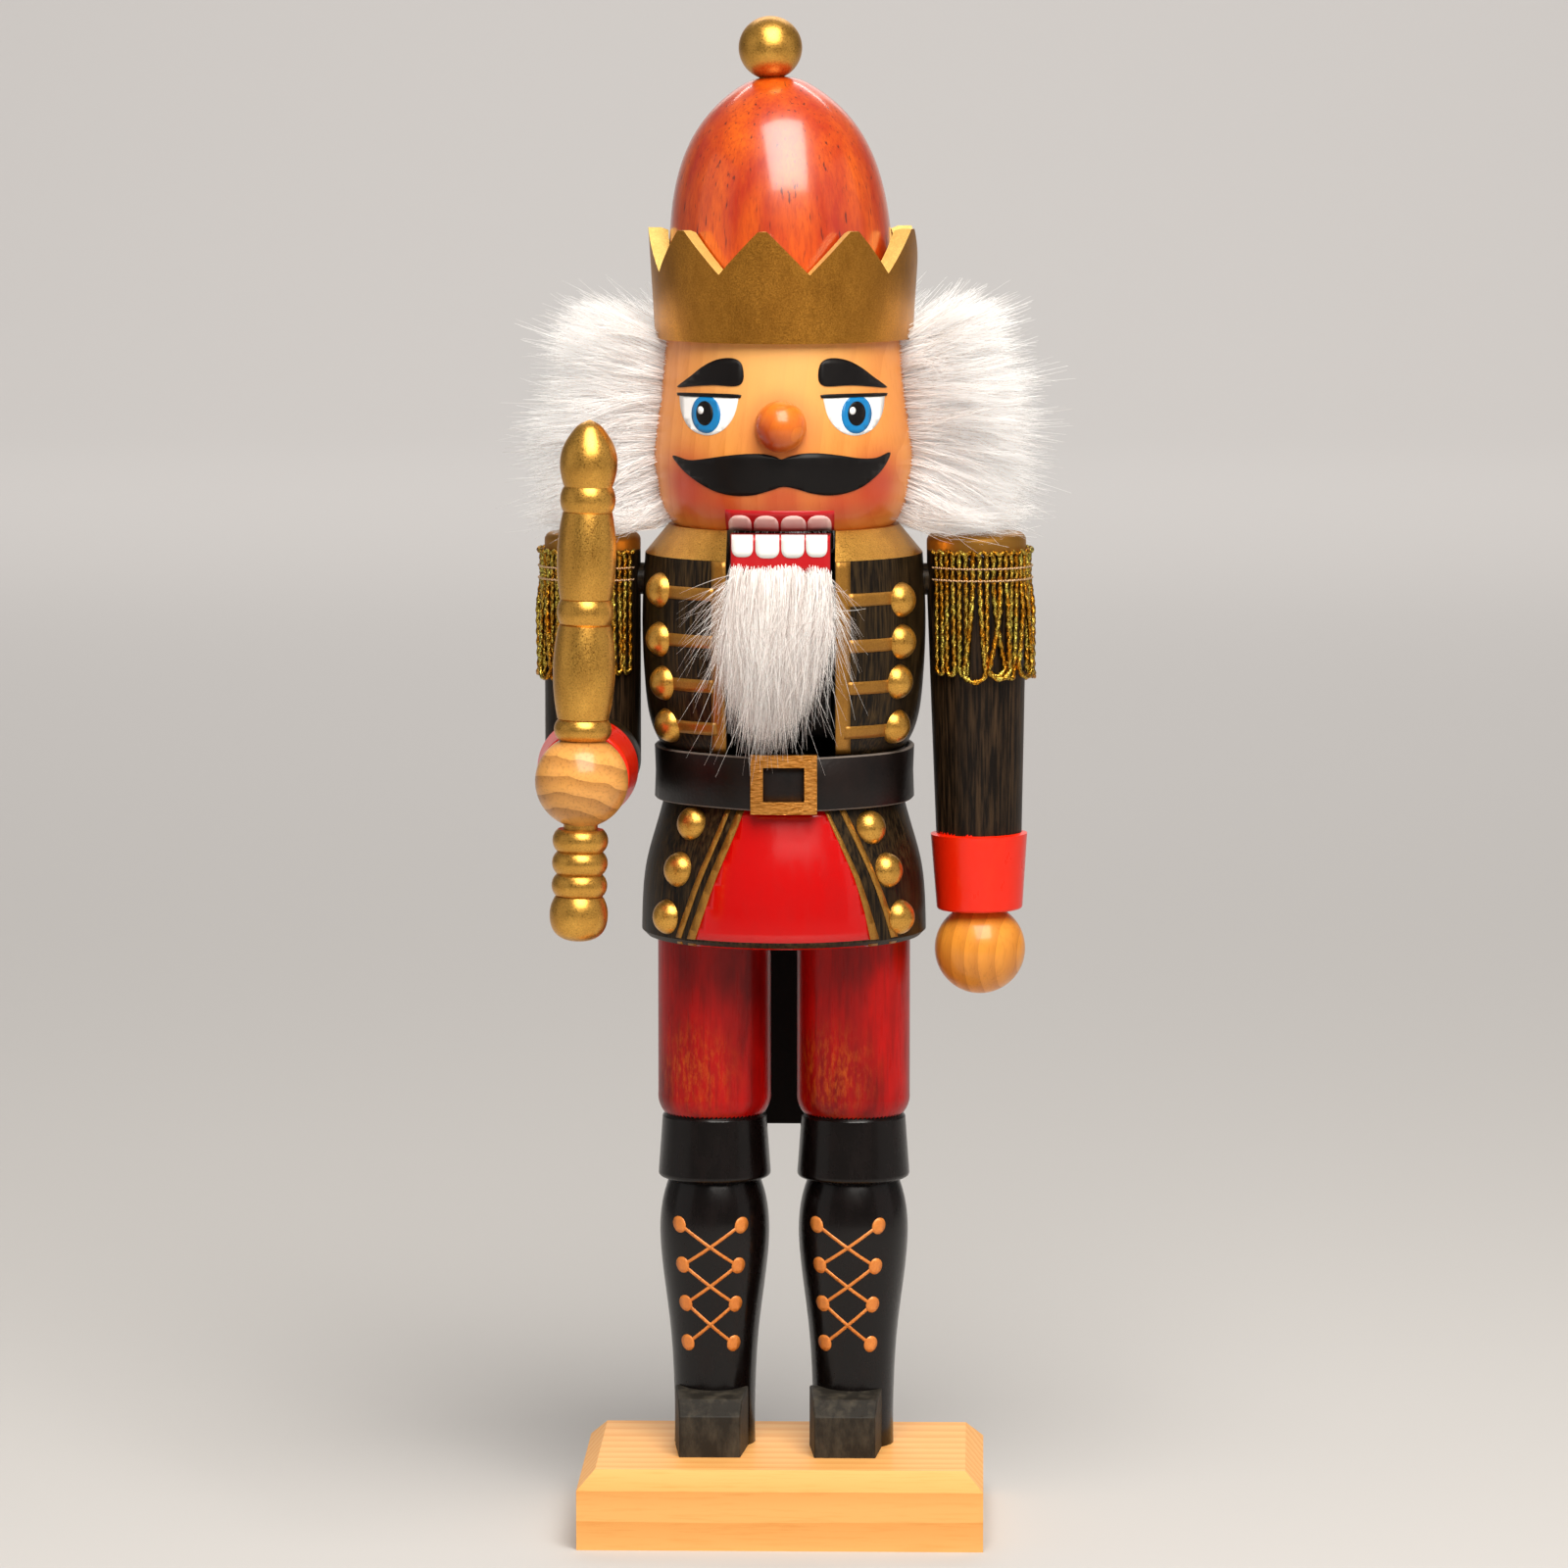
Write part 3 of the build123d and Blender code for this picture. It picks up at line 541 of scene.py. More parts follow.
def coat_of_paint(name, outline, cast, material, body, slot, lift=0.10, step=1.6):
    """Thin closed film of paint laid over a surface, inside a flat outline in millimetres."""
    sunk = 0.12
    film = bmesh.new()
    film.faces.new([film.verts.new((u, v, 0)) for u, v in outline])
    for axis in (0, 1):
        low = min(point[axis] for point in outline)
        high = max(point[axis] for point in outline)
        count = int((high - low) / step)
        for index in range(1, count + 1):
            place, normal = Vector((0, 0, 0)), Vector((0, 0, 0))
            place[axis] = low + (high - low) * index / (count + 1)
            normal[axis] = 1
            everything = film.verts[:] + film.edges[:] + film.faces[:]
            bmesh.ops.bisect_plane(film, geom=everything, plane_co=place, plane_no=normal, dist=1e-6)
    bmesh.ops.triangulate(film, faces=film.faces[:])
    film.verts.index_update()
    outer, inner = [], []
    for vert in film.verts:
        place, normal = cast(vert.co.x, vert.co.y)
        if place is None:
            raise ValueError(f"{name}: nothing to paint at {vert.co.x:.2f}, {vert.co.y:.2f}")
        outer.append(place + normal * lift * MM)
        inner.append(place - normal * sunk * MM)
    count = len(outer)
    faces = [[v.index for v in face.verts] for face in film.faces]
    under = [[count + index for index in reversed(face)] for face in faces]
    walls = []
    for edge in film.edges:
        if edge.is_boundary:
            loop = edge.link_loops[0]
            first, second = loop.vert.index, loop.link_loop_next.vert.index
            walls.append([second, first, count + first, count + second])
    film.free()
    first, second, third = (outer[index] for index in faces[0][:3])
    if (second - first).cross(third - first).dot(outer[0] - inner[0]) < 0:
        faces, under, walls = ([face[::-1] for face in group] for group in (faces, under, walls))
    made = piece(name, outer + inner, faces + under + walls, [material], body, slot)
    made.data.polygons.foreach_set("use_smooth", [True] * len(faces) + [False] * len(under + walls))
    return made


def open_curve(points, per_span=4):
    """Catmull-Rom curve through points, from the first to the last."""
    return curve_through([points[0]] + points + [points[-1]], per_span, len(points) - 1) + [points[-1]]


def smooth_loop(points, per_span=6):
    """Closed Catmull-Rom curve through points."""
    return curve_through(points[-1:] + points + points[:2], per_span, len(points))


def curve_through(points, per_span, spans):
    """Catmull-Rom spans, each from the second to the third of four points in a row."""
    curve = []
    for index in range(spans):
        a, b, c, d = (Vector(point) for point in points[index:index + 4])
        for step in range(per_span):
            t = step / per_span
            curve.append(0.5 * (2 * b + (c - a) * t + (2 * a - 5 * b + 4 * c - d) * t ** 2
                                + (3 * b - a - 3 * c + d) * t ** 3))
    return [(point.x, point.y) for point in curve]


def oval(centre, width, height, count=28, lean=0.0):
    """Ellipse turned by an angle."""
    points = []
    for index in range(count):
        turn = 2 * pi * index / count
        u, v = width / 2 * cos(turn), height / 2 * sin(turn)
        points.append((centre[0] + u * cos(lean) - v * sin(lean),
                       centre[1] + u * sin(lean) + v * cos(lean)))
    return points


def mirrored(points):
    return [(-u, v) for u, v in reversed(points)]


# ---- painted face

def paint_face():
    """Eyes, brows, moustache, mouth and upper teeth, on the head."""
    cast = from_front("head")

    def stroke(name, outline, material, lift, step=1.6):
        coat_of_paint(name, outline, cast, material, "figure", "face_wood", lift, step)

    below = [(-10.6, 286.4), (-11.5, 283.0), (-13.3, 280.2), (-15.8, 278.4), (-18.6, 277.8),
             (-21.4, 278.5), (-23.6, 280.3), (-25.0, 283.4), (-25.4, 286.4)]
    white_outline = open_curve([(-10.5, 287.6)] + below + [(-25.4, 287.6)])
    lid = smooth_loop([(-25.9, 287.5), (-25.3, 287.9), (-18, 288.15), (-10.6, 288.1), (-9.9, 287.6),
                       (-10.8, 287.2), (-18, 287.25), (-25.0, 287.1)], 4)
    brow = smooth_loop([(-25.7, 289.6), (-22.6, 292.1), (-19.4, 294.7), (-15.9, 296.5), (-12.2, 297.0),
                        (-9.9, 295.9), (-9.2, 293.2), (-9.6, 291.0), (-11.5, 290.1), (-17.0, 290.2),
                        (-22.0, 289.7), (-25.4, 289.2)], 5)
    iris = [(u, min(v, 287.25 - 0.002 * abs(u + 18.6))) for u, v in oval((-18.6, 283.0), 7.4, 9.4)]
    for side, turn in (("right", list), ("left", mirrored)):
        stroke(f"{side}_eye_white", turn(white_outline), EYE_WHITE, 0.10)
        stroke(f"{side}_iris", turn(iris), EYE_BLUE, 0.16, 1.2)
        centre = (-18.9, 283.2) if side == "right" else (18.6, 283.2)
        stroke(f"{side}_pupil", oval(centre, 4.3, 6.0), FACE_BLACK, 0.22, 1.2)
        stroke(f"{side}_eye_glint", oval((centre[0] - 1.0, 283.9), 1.5, 1.9, 16), EYE_WHITE, 0.28, 1.2)
        stroke(f"{side}_lid_line", turn(lid), FACE_BLACK, 0.26)
        stroke(f"{side}_brow", turn(brow), FACE_BLACK, 0.22)
    moustache = [
        (-27.0, 272.3), (-23, 271.5), (-19, 272.0), (-14, 272.9), (-9, 273.5), (-4.5, 273.6), (-1.5, 273.0),
        (0.2, 272.3), (2.2, 273.0), (5.5, 273.7), (10, 273.7), (15, 273.0), (19.5, 272.2), (23.5, 272.1),
        (26.8, 273.2), (25.6, 270.2), (23.4, 267.6), (20, 265.1), (15.9, 263.6), (11.8, 263.2),
        (7.6, 263.8), (4.0, 264.9), (0.6, 265.5), (-3.0, 264.4), (-7, 263.3), (-11.6, 263.1), (-15.9, 263.9),
        (-20.2, 265.9), (-23.7, 268.3), (-25.8, 270.4)]
    stroke("moustache", smooth_loop(moustache, 4), FACE_BLACK, 0.24)
    stroke("mouth", [(-13.7, 254.15), (13.1, 254.15), (13.2, 259.3), (-13.9, 259.5)], MOUTH_RED, 0.10)
    for number, (start, end) in enumerate(((-13.0, -7.3), (-6.7, -0.6), (0.0, 6.2), (6.5, 12.4))):
        tooth = [(start, 254.25), (end, 254.25)] + tooth_edge(start, end, 255.9, 2.3, 0.8, 0.0)
        stroke(f"upper_tooth_{number + 1}", tooth, TOOTH_PINK, 0.20, 1.2)


def tooth_edge(start, end, middle, half_height, power, first_turn):
    """Rounded end of a tooth: half of a squared ellipse between two edges."""
    centre, half = (start + end) / 2, (end - start) / 2
    return [(centre + half * copysign(abs(cos(turn)) ** power, cos(turn)),
             middle + half_height * sin(turn))
            for turn in np.linspace(first_turn, first_turn + pi, 14)]


def paint_jaw():
    """Gum and lower teeth, on the lever."""
    cast = from_front("jaw_lever")

    def stroke(name, outline, material, lift):
        coat_of_paint(name, outline, cast, material, "jaw", "jaw_paint", lift, 1.6)

    stroke("lower_gum", [(-12.3, 244.4), (12.3, 244.4), (12.3, 253.45), (-12.3, 253.45)], MOUTH_RED, 0.10)
    top, teeth = 253.5, ((-12.1, -6.8, 5.4), (-6.2, -0.3, 5.7), (0.2, 5.9, 5.6), (6.3, 11.6, 5.4))
    for number, (start, end, drop) in enumerate(teeth):
        tooth = [(end, top), (start, top)] + tooth_edge(start, end, top - drop + 2.2, 2.2, 0.6, pi)
        stroke(f"lower_tooth_{number + 1}", tooth, TOOTH, 0.24)


# ---- painted coat, skirt and boots

# Millimetres, and degrees round from the front at each station down the skirt.
CHEST_R, SKIRT_R = 35.0, 33.0
STATIONS = (184.8, 176.5, 168.0, 159.0, 150.35)
STRIPES = {
    "right": (("inner", (17.4, 22.2, 27.2, 32.2, 37.6), (21.0, 25.8, 30.8, 36.2, 42.0)),
              ("outer", (24.3, 28.9, 33.8, 39.3, 45.2), (26.8, 31.6, 36.6, 42.3, 48.5))),
    "left": (("inner", (20.6, 26.2, 31.4, 35.6, 38.9), (22.4, 28.4, 33.9, 38.8, 43.7)),
             ("outer", (28.2, 34.2, 39.6, 45.2, 50.6), (31.4, 37.2, 42.5, 48.8, 55.2))),
}
PANEL_EDGE = {"right": (17.6, 22.4, 27.4, 32.4, 37.8), "left": (20.8, 26.4, 31.6, 35.8, 39.1)}


def arc(radius, degrees):
    return radius * radians(degrees)


def skirt_strip(first, second):
    """Outline between two lines down the skirt, each given by its angle at every station."""
    down = [(arc(SKIRT_R, angle), height) for angle, height in zip(first, STATIONS)]
    return down + [(arc(SKIRT_R, angle), height) for angle, height in zip(second[::-1], STATIONS[::-1])]


def paint_coat():
    """Gold bands and stripes on the coat, and the red panel between them."""
    front = from_front("torso")
    chest = from_round("torso", CHEST_R)
    skirt = from_round("torso", SKIRT_R)
    band_heights = {"right": (238.5, 226.7, 215.6, 204.9), "left": (237.2, 225.7, 215.2, 204.0)}
    start, end = arc(CHEST_R, 28.2), arc(CHEST_R, 56.0)

    def trim(name, outline, cast, *film):
        coat_of_paint(name, outline, cast, GOLD_TRIM, "figure", "coat_stain", *film)

    for side, turn in (("right", mirrored), ("left", list)):
        edge = [(13.58, 198.5), (17.2, 198.5), (17.2, 246.8), (13.58, 246.8)]
        trim(f"{side}_front_band", turn(edge), front, 0.10)
        for number, height in enumerate(band_heights[side]):
            band = [(start, height - 1.6), (end, height - 1.7), (end, height + 1.5), (start, height + 1.6)]
            trim(f"{side}_chest_band_{number + 1}", turn(band), chest, 0.12)
        for label, inner_edge, outer_edge in STRIPES[side]:
            stripe = turn(skirt_strip(inner_edge, outer_edge))
            trim(f"{side}_skirt_{label}_stripe", stripe, skirt, 0.16, 2.0)
    panel = skirt_strip(PANEL_EDGE["left"], [-angle for angle in PANEL_EDGE["right"]])
    coat_of_paint("skirt_panel", panel, skirt, PANEL_RED, "figure", "coat_stain", 0.10, 2.0)


def lace_line(start, end, width=0.8):
    """Thin straight stroke between two points."""
    a, b = Vector(start), Vector(end)
    along = (b - a).normalized()
    across = Vector((-along.y, along.x)) * width / 2
    return [tuple(point) for point in (a - across, b - across, b + across, a + across)]


def paint_laces():
    """Crossed laces between two columns of eyelets, on each boot."""
    rows = (77.1, 66.8, 56.8, 46.5)
    halves = (7.8, 7.0, 6.25, 5.75)
    for side, middle in (("right", -18.3), ("left", 16.4)):
        cast = from_front(f"{side}_leg")

        def line(name, outline, lift, cast=cast):
            coat_of_paint(name, outline, cast, LACE, "figure", "leg_paint", lift, 1.3)

        for row, (height, half) in enumerate(zip(rows, halves)):
            for sign in (-1, 1):
                end = "inner" if (sign > 0) == (side == "right") else "outer"
                eyelet = oval((middle + sign * half, height), 3.2, 4.2, 24, lean=-0.25 * sign)
                line(f"{side}_eyelet_{end}_{row + 1}", eyelet, 0.16)
                if row < 3:
                    start = (middle + sign * half * 0.98, height)
                    finish = (middle - sign * halves[row + 1] * 0.98, rows[row + 1])
                    line(f"{side}_lace_{end}_{row + 1}", lace_line(start, finish), 0.10)


# ---- belt

def make_belt():
    """Leather strap with softened edges, a little wavy, running round under the buckle."""
    low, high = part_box("belt")
    bottom, top = low.z, high.z
    inner, thick = 0.0311, 0.0014
    around, edge = 240, 0.00035
    wide = top - bottom
    profile = [(0, edge), (edge, 0), (thick - edge, 0), (thick, edge), (thick, wide / 2),
               (thick, wide - edge), (thick - edge, wide), (edge, wide), (0, wide - edge), (0, wide / 2)]
    verts = []
    for step in range(around):
        angle = 2 * pi * step / around
        wave = 0.00016 * sin(3 * angle + 0.7) + 0.00009 * sin(7 * angle)
        rise = 0.00022 * sin(2 * angle + 0.4) + 0.0001 * sin(5 * angle)
        for out, up in profile:
            flare = 0.00025 * abs(up / wide - 0.5) * 2
            radius = inner + out + wave + flare
            verts.append((radius * cos(angle), radius * sin(angle), bottom + up + rise))
    count = len(profile)
    faces = [(a, d, c, b) for a, b, c, d in skin(around, count, looped=True)]
    indices = [int(index in (0, 1, 2, 5, 6, 7)) for index in range(count)] * around
    edge_material = gloss_paint("belt_edge", (0.16, 0.13, 0.11), (0.05, 0.04, 0.035), 0.6, 0.0)
    strap = piece("belt_strap", verts, faces, [belt_leather(), edge_material], "figure", "belt_leather",
                  indices=indices)
    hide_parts("belt")


# ---- epaulette fringes

def tube(path, radius_at, sides=8):
    """Verts and faces of a tube along points, its section given by a function of (index, angle)."""
    points = [Vector(point) for point in path]
    verts = []
    side = Vector((0, 1, 0))
    for index, point in enumerate(points):
        ahead = (points[min(index + 1, len(points) - 1)] - points[max(index - 1, 0)]).normalized()
        side = (side - ahead * side.dot(ahead)).normalized()
        up = ahead.cross(side)
        for corner in range(sides):
            turn = 2 * pi * corner / sides
            verts.append(point + (side * cos(turn) + up * sin(turn)) * radius_at(index, turn))
    return verts, skin(len(points), sides)


def collected(parts):
    """Joins (verts, faces) pairs into one."""
    verts, faces = [], []
    for part_verts, part_faces in parts:
        start = len(verts)
        verts.extend(part_verts)
        faces.extend(tuple(start + index for index in face) for face in part_faces)
    return verts, faces


ARM_X = {"left": 0.0485, "right": -0.0482}
SLEEVE = {"left": 0.0125, "right": 0.0121}
LEAN = {"left": tan(radians(0.66)), "right": 0.0}
SHOULDER_Z = 0.240
FRINGE_WRAP = radians(286)


def make_fringe(side, material):
    """Hairpin loops of twisted metallic cord hanging from a stitched heading, wrapped round a sleeve."""
    node, body = f"{side}_epaulette_fringe", f"{side}_arm_group"
    low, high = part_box(node)
    sign = 1 if side == "left" else -1
    rng = random.Random(11 if side == "left" else 12)
    cord, loops = 0.00060, 19
    top, bottom, heading = high.z - 0.0006, low.z + 0.0008, 0.0072
    pitch = FRINGE_WRAP / loops / 2
    stand = SLEEVE[side] + cord + 0.0001

    def spot(angle, radius, height):
        lean = (SHOULDER_Z - height) * LEAN[side]
        return (ARM_X[side] + sign * radius * cos(angle) + lean, radius * sin(angle), height)

    parts = []
    for loop in range(loops):
        middle = -FRINGE_WRAP / 2 + FRINGE_WRAP * (loop + 0.5) / loops
        beside_body = min(loop, loops - 1 - loop) < 3
        tight = beside_body or rng.random() < 0.35
        width = rng.uniform(0.0009, 0.0013) if tight else rng.uniform(0.0024, 0.0042)
        opening = width / stand
        sway = rng.uniform(-0.04, 0.04) if beside_body else rng.uniform(-0.11, 0.11)
        layer = 0.0 if beside_body else (loop % 2) * 0.00095
        drop = bottom + (0.0012 if beside_body else rng.uniform(-0.0006, 0.0010))
        turn_height = drop + width
        legs = []
        for leg in (-1, 1):
            route = []
            for step in range(41):
                height = top + (turn_height - top) * step / 40
                hang = max(0.0, (top - heading - height) / (top - heading - turn_height))
                spread = pitch / 2 + (opening - pitch / 2) * hang ** (1.0 if tight else 1.7)
                out = layer * min(1.0, hang * 3)
                route.append((middle + leg * spread + sway * hang ** 1.6, stand + out, height))
            legs.append(route)
        bend = [(middle + sway - opening * cos(pi * step / 14), stand + layer,
                 turn_height - width * sin(pi * step / 14)) for step in range(1, 14)]
        route = legs[0] + bend + legs[1][::-1]
        smooth = resampled([spot(*place) for place in route], 0.00034)
        phase = rng.uniform(0, pi)

        def lobed(index, turn, phase=phase):
            return cord * (1 + 0.24 * cos(2 * turn - index * 0.80 + phase))

        parts.append(tube(smooth, lobed))
    fringe = piece(f"{side}_fringe_loops", *collected(parts), [material], body, "gold_cord")
    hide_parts(node)

    rows = ((top - 0.0001, 0.00050, 48, 0.00060, material),
            (top - 0.0040, 0.00024, 96, 0.00014, chain_thread),
            (top - 0.0070, 0.00024, 96, 0.00014, chain_thread))
    for number, (height, size, count, slant, yarn) in enumerate(rows):
        stitches = []
        for step in range(count):
            angle = -FRINGE_WRAP / 2 + FRINGE_WRAP * (step + 0.5) / count
            span = FRINGE_WRAP / count * 0.62
            rise = slant if step % 2 else -slant
            radius = stand + cord * 1.05
            link = [spot(angle + span * share, radius + 0.0002 * cos(share * pi / 2),
                         height + rise * share) for share in (-1, -0.5, 0, 0.5, 1)]
            swelling = [size * share for share in (0.6, 0.95, 1.05, 0.95, 0.6)]
            stitches.append(tube(link, lambda index, turn, swelling=swelling: swelling[index], sides=6))
        piece(f"{side}_fringe_row_{number + 1}", *collected(stitches), [yarn], body, "gold_cord")


def resampled(points, spacing):
    """Points at even spacing along a polyline."""
    places = np.array(points)
    lengths = np.concatenate([[0], np.cumsum(np.linalg.norm(np.diff(places, axis=0), axis=1))])
    stations = np.linspace(0, lengths[-1], int(lengths[-1] / spacing) + 1)
    columns = [np.interp(stations, lengths, places[:, axis]) for axis in range(3)]
    return [tuple(row) for row in np.stack(columns, axis=1)]


# ---- fur

def strands(locks, per_lock, spread, rng, tip_spread=0.45, stray=0.0012, shortest=0.70):
    """Fibre paths that follow lock paths, gathered towards the tips."""
    count, stations = len(locks) * per_lock, locks.shape[1]
    owner = np.repeat(np.arange(len(locks)), per_lock)
    t = np.linspace(0, 1, stations)[None, :, None]
    reach = rng.uniform(shortest, 1.0, count)
    position = np.clip(t[..., 0] * reach[:, None], 0, 1) * (stations - 1)
    low = np.clip(np.floor(position).astype(int), 0, stations - 2)
    share = (position - low)[..., None]
    rows = np.arange(count)[:, None]
    base = locks[owner]
    path = base[rows, low] * (1 - share) + base[rows, low + 1] * share
    offset = np.clip(rng.normal(size=(count, 1, 3)), -2, 2) * spread
    wild_share, wildness = 0.06, 3.0
    wild = np.where(rng.random((count, 1, 1)) < wild_share, wildness, 1.0)
    drift = np.clip(rng.normal(size=(count, 1, 3)), -2, 2) * stray * wild
    return path + offset * (1 - (1 - tip_spread) * t) + drift * t ** 1.6


def strand_mesh(name, paths, rng, width, body, fur):
    """Tapered three-sided fibres along paths, as one mesh in the three shades of a fur."""
    count, stations, _ = paths.shape
    t = np.linspace(0, 1, stations)[None, :, None]
    ahead = np.gradient(paths, axis=1)
    ahead /= np.linalg.norm(ahead, axis=2, keepdims=True) + 1e-12
    side = np.cross(ahead, rng.normal(size=(count, 1, 3)))
    side /= np.linalg.norm(side, axis=2, keepdims=True) + 1e-12
    up = np.cross(ahead, side)
    thick = width / 2 * rng.uniform(0.7, 1.3, count)[:, None, None] * (1 - 0.72 * t)
    corners = [paths + thick * (side * cos(turn) + up * sin(turn))
               for turn in (0, 2 * pi / 3, 4 * pi / 3)]
    verts = np.stack(corners, axis=2).reshape(-1, 3)
    one = skin(stations, 3)
    quads, caps = one[:-2], one[-2:]
    starts = (np.arange(count) * 3 * stations)[:, None, None]
    quad_index = (np.array(quads)[None] + starts).reshape(-1, 4)
    cap_index = (np.array(caps)[None] + starts).reshape(-1, 3)
    corners_of = np.concatenate([quad_index.ravel(), cap_index.ravel()]).astype(np.int32)
    sizes = np.repeat([4, 3], [len(quad_index), len(cap_index)]).astype(np.int32)
    first_loops = (np.cumsum(sizes) - sizes).astype(np.int32)
    shade = rng.choice(len(fur), count, p=(0.46, 0.30, 0.24)).astype(np.int32)
    mesh = bpy.data.meshes.new(name)
    mesh.vertices.add(len(verts))
    mesh.vertices.foreach_set("co", verts.astype(np.float32).ravel())
    mesh.loops.add(len(corners_of))
    mesh.loops.foreach_set("vertex_index", corners_of)
    mesh.polygons.add(len(sizes))
    mesh.polygons.foreach_set("loop_start", first_loops)
    mesh.polygons.foreach_set("loop_total", sizes)
    for material in fur:
        mesh.materials.append(material)
    mesh.update(calc_edges=True)
    shades = np.concatenate([np.repeat(shade, len(quads)), np.repeat(shade, len(caps))])
    mesh.polygons.foreach_set("material_index", shades)
    mesh.polygons.foreach_set("use_smooth", np.ones(len(sizes), bool))
    return placed(mesh, body)


def fur_material(name, colour, roughness, glow):
    """Fibre colour, with a faint emitted glow: painted light for the light that passes through real hair."""
    colour = (*colour, 1.0)
    material, _, _ = new_material(name, "Base Color", colour, "Roughness", roughness, "Sheen Weight", 0.3,
                                  "Specular IOR Level", 0.3, "Emission Color", colour,
                                  "Emission Strength", glow)
    return material


def head_radius(height):
    """Radius of the turned head at a height."""
    return np.interp(height, (0.254, 0.2573, 0.2623, 0.269, 0.276, 0.286, 0.3007),
                     (0.0275, 0.0303, 0.0320, 0.0332, 0.0330, 0.0316, 0.0300))


def make_hair():
    """White fur round the sides and back of the head, standing out in locks."""
    rng = np.random.default_rng(5)
    edge, locks = 76.0, 300
    lowest, middle, half, tall = 0.2568, 0.2782, 0.0214, 0.0428
    # How low the fur may hang over the sleeve, the fringe's heading, the collar and at the nape.
    over_sleeve, over_fringe, over_collar, at_nape = 0.2527, 0.2552, 0.2520, 0.2400
    widest, deepest = 0.0735, 0.0710
    t = np.linspace(0, 1, 5)[None, :, None]
    ends = np.concatenate([[edge], np.linspace(edge + 12, 180, 4)])
    for side, sign in (("right", -1), ("left", 1)):
        for number in range(4):
            angle = rng.uniform(ends[number], ends[number + 1], locks)
            height = lowest + tall * rng.random(locks)
            share = (height - middle) / half
            sine, cosine, flat = np.sin(np.radians(angle)), np.cos(np.radians(angle)), np.zeros(locks)
            outward = np.stack([sine, -cosine, flat], axis=1)
            along = np.stack([cosine, sine, flat], axis=1)
            roots = outward * (head_radius(height) - 0.0004)[:, None]
            roots[:, 2] = height
            rise = 0.40 * share + np.where(share > 0.6, 0.10, 0.0) + rng.normal(0, 0.10, locks)
            rise = np.clip(rise, -0.46, 0.62) - np.where((angle > 150) & (share < -0.2), 0.22, 0.0)
            forward = rng.normal(0, 0.14, locks)
            swing = forward - np.where(angle < edge + 10, rng.uniform(0, 0.42, locks), 0.0)
            way = outward + along * swing[:, None] + np.array([0, 0, 1.0]) * rise[:, None]
            way /= np.linalg.norm(way, axis=1, keepdims=True)
            reach = (0.0312 - 0.0040 * np.abs(share) ** 2.5) * rng.uniform(0.86, 1.06, locks)
            curl = rng.normal(size=(locks, 1, 3)) * 0.10
            curl[..., 2] -= 0.10
            path = roots[:, None, :] + reach[:, None, None] * (way[:, None, :] * t + curl * t ** 2)
            x, y = np.abs(path[..., 0]), path[..., 1]
            floor_z = np.where(np.abs(y) < 0.0135, over_sleeve, over_fringe)
            floor_z = np.where(x > 0.033, floor_z, over_collar)
            floor_z = np.where((y > 0.0475) & (x < 0.030), at_nape, floor_z)
            floor_z = floor_z + rng.uniform(0, 0.0045, (locks, 1)) * t[..., 0]
            path[..., 2] = np.maximum(path[..., 2], floor_z)
            path[..., 0] *= sign
            paths = strands(path, 25, 0.0011, rng, tip_spread=0.6, stray=0.0014)
            paths[..., 0] = np.clip(paths[..., 0], -widest, widest)
            paths[..., 1] = np.minimum(paths[..., 1], deepest)
            made = strand_mesh(f"hair_{side}_{number + 1}", paths, rng, 0.00017, "figure", HAIR_FUR)
            if side == "right" and number == 0:
                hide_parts("hair")
    make_underfur()


def make_underfur():
    """Dense woolly base that the long fibres stand in."""
    steps_round, steps_section = 150, 40
    first, last = 80.0, 280.0
    phases = np.random.default_rng(8).uniform(0, 6.28, 12)
    verts = []
    for step in range(steps_round):
        angle = radians(first + (last - first) * step / (steps_round - 1))
        taper = min(1.0, sin(pi * step / (steps_round - 1)) * 9) ** 0.5
        for index in range(steps_section):
            turn = 2 * pi * index / steps_section
            lump = 1 + 0.05 * sin(angle * 23 + phases[0] + 3 * turn)
            lump += 0.04 * sin(angle * 41 + phases[1] - 5 * turn)
            radius = 0.0395 + 0.0092 * cos(turn) * lump * taper
            height = 0.2785 + 0.0185 * sin(turn) * (0.97 + 0.03 * lump) * (0.75 + 0.25 * taper)
            verts.append((radius * sin(angle), -radius * cos(angle), height))
    material, tree, shader = new_material("underfur", "Roughness", 0.9, "Sheen Weight", 0.4)
    wool = streaks(tree, (900, 900, 260), detail=6.0, roughness=0.7)
    tinted(shader, wool, 0.35, 0.65, (0.78, 0.75, 0.73), (0.95, 0.94, 0.92))
    bumped(shader, wool, 0.8, 0.001)
    piece("hair_underfur", verts, skin(steps_round, steps_section), [material], "figure", "white_fur")


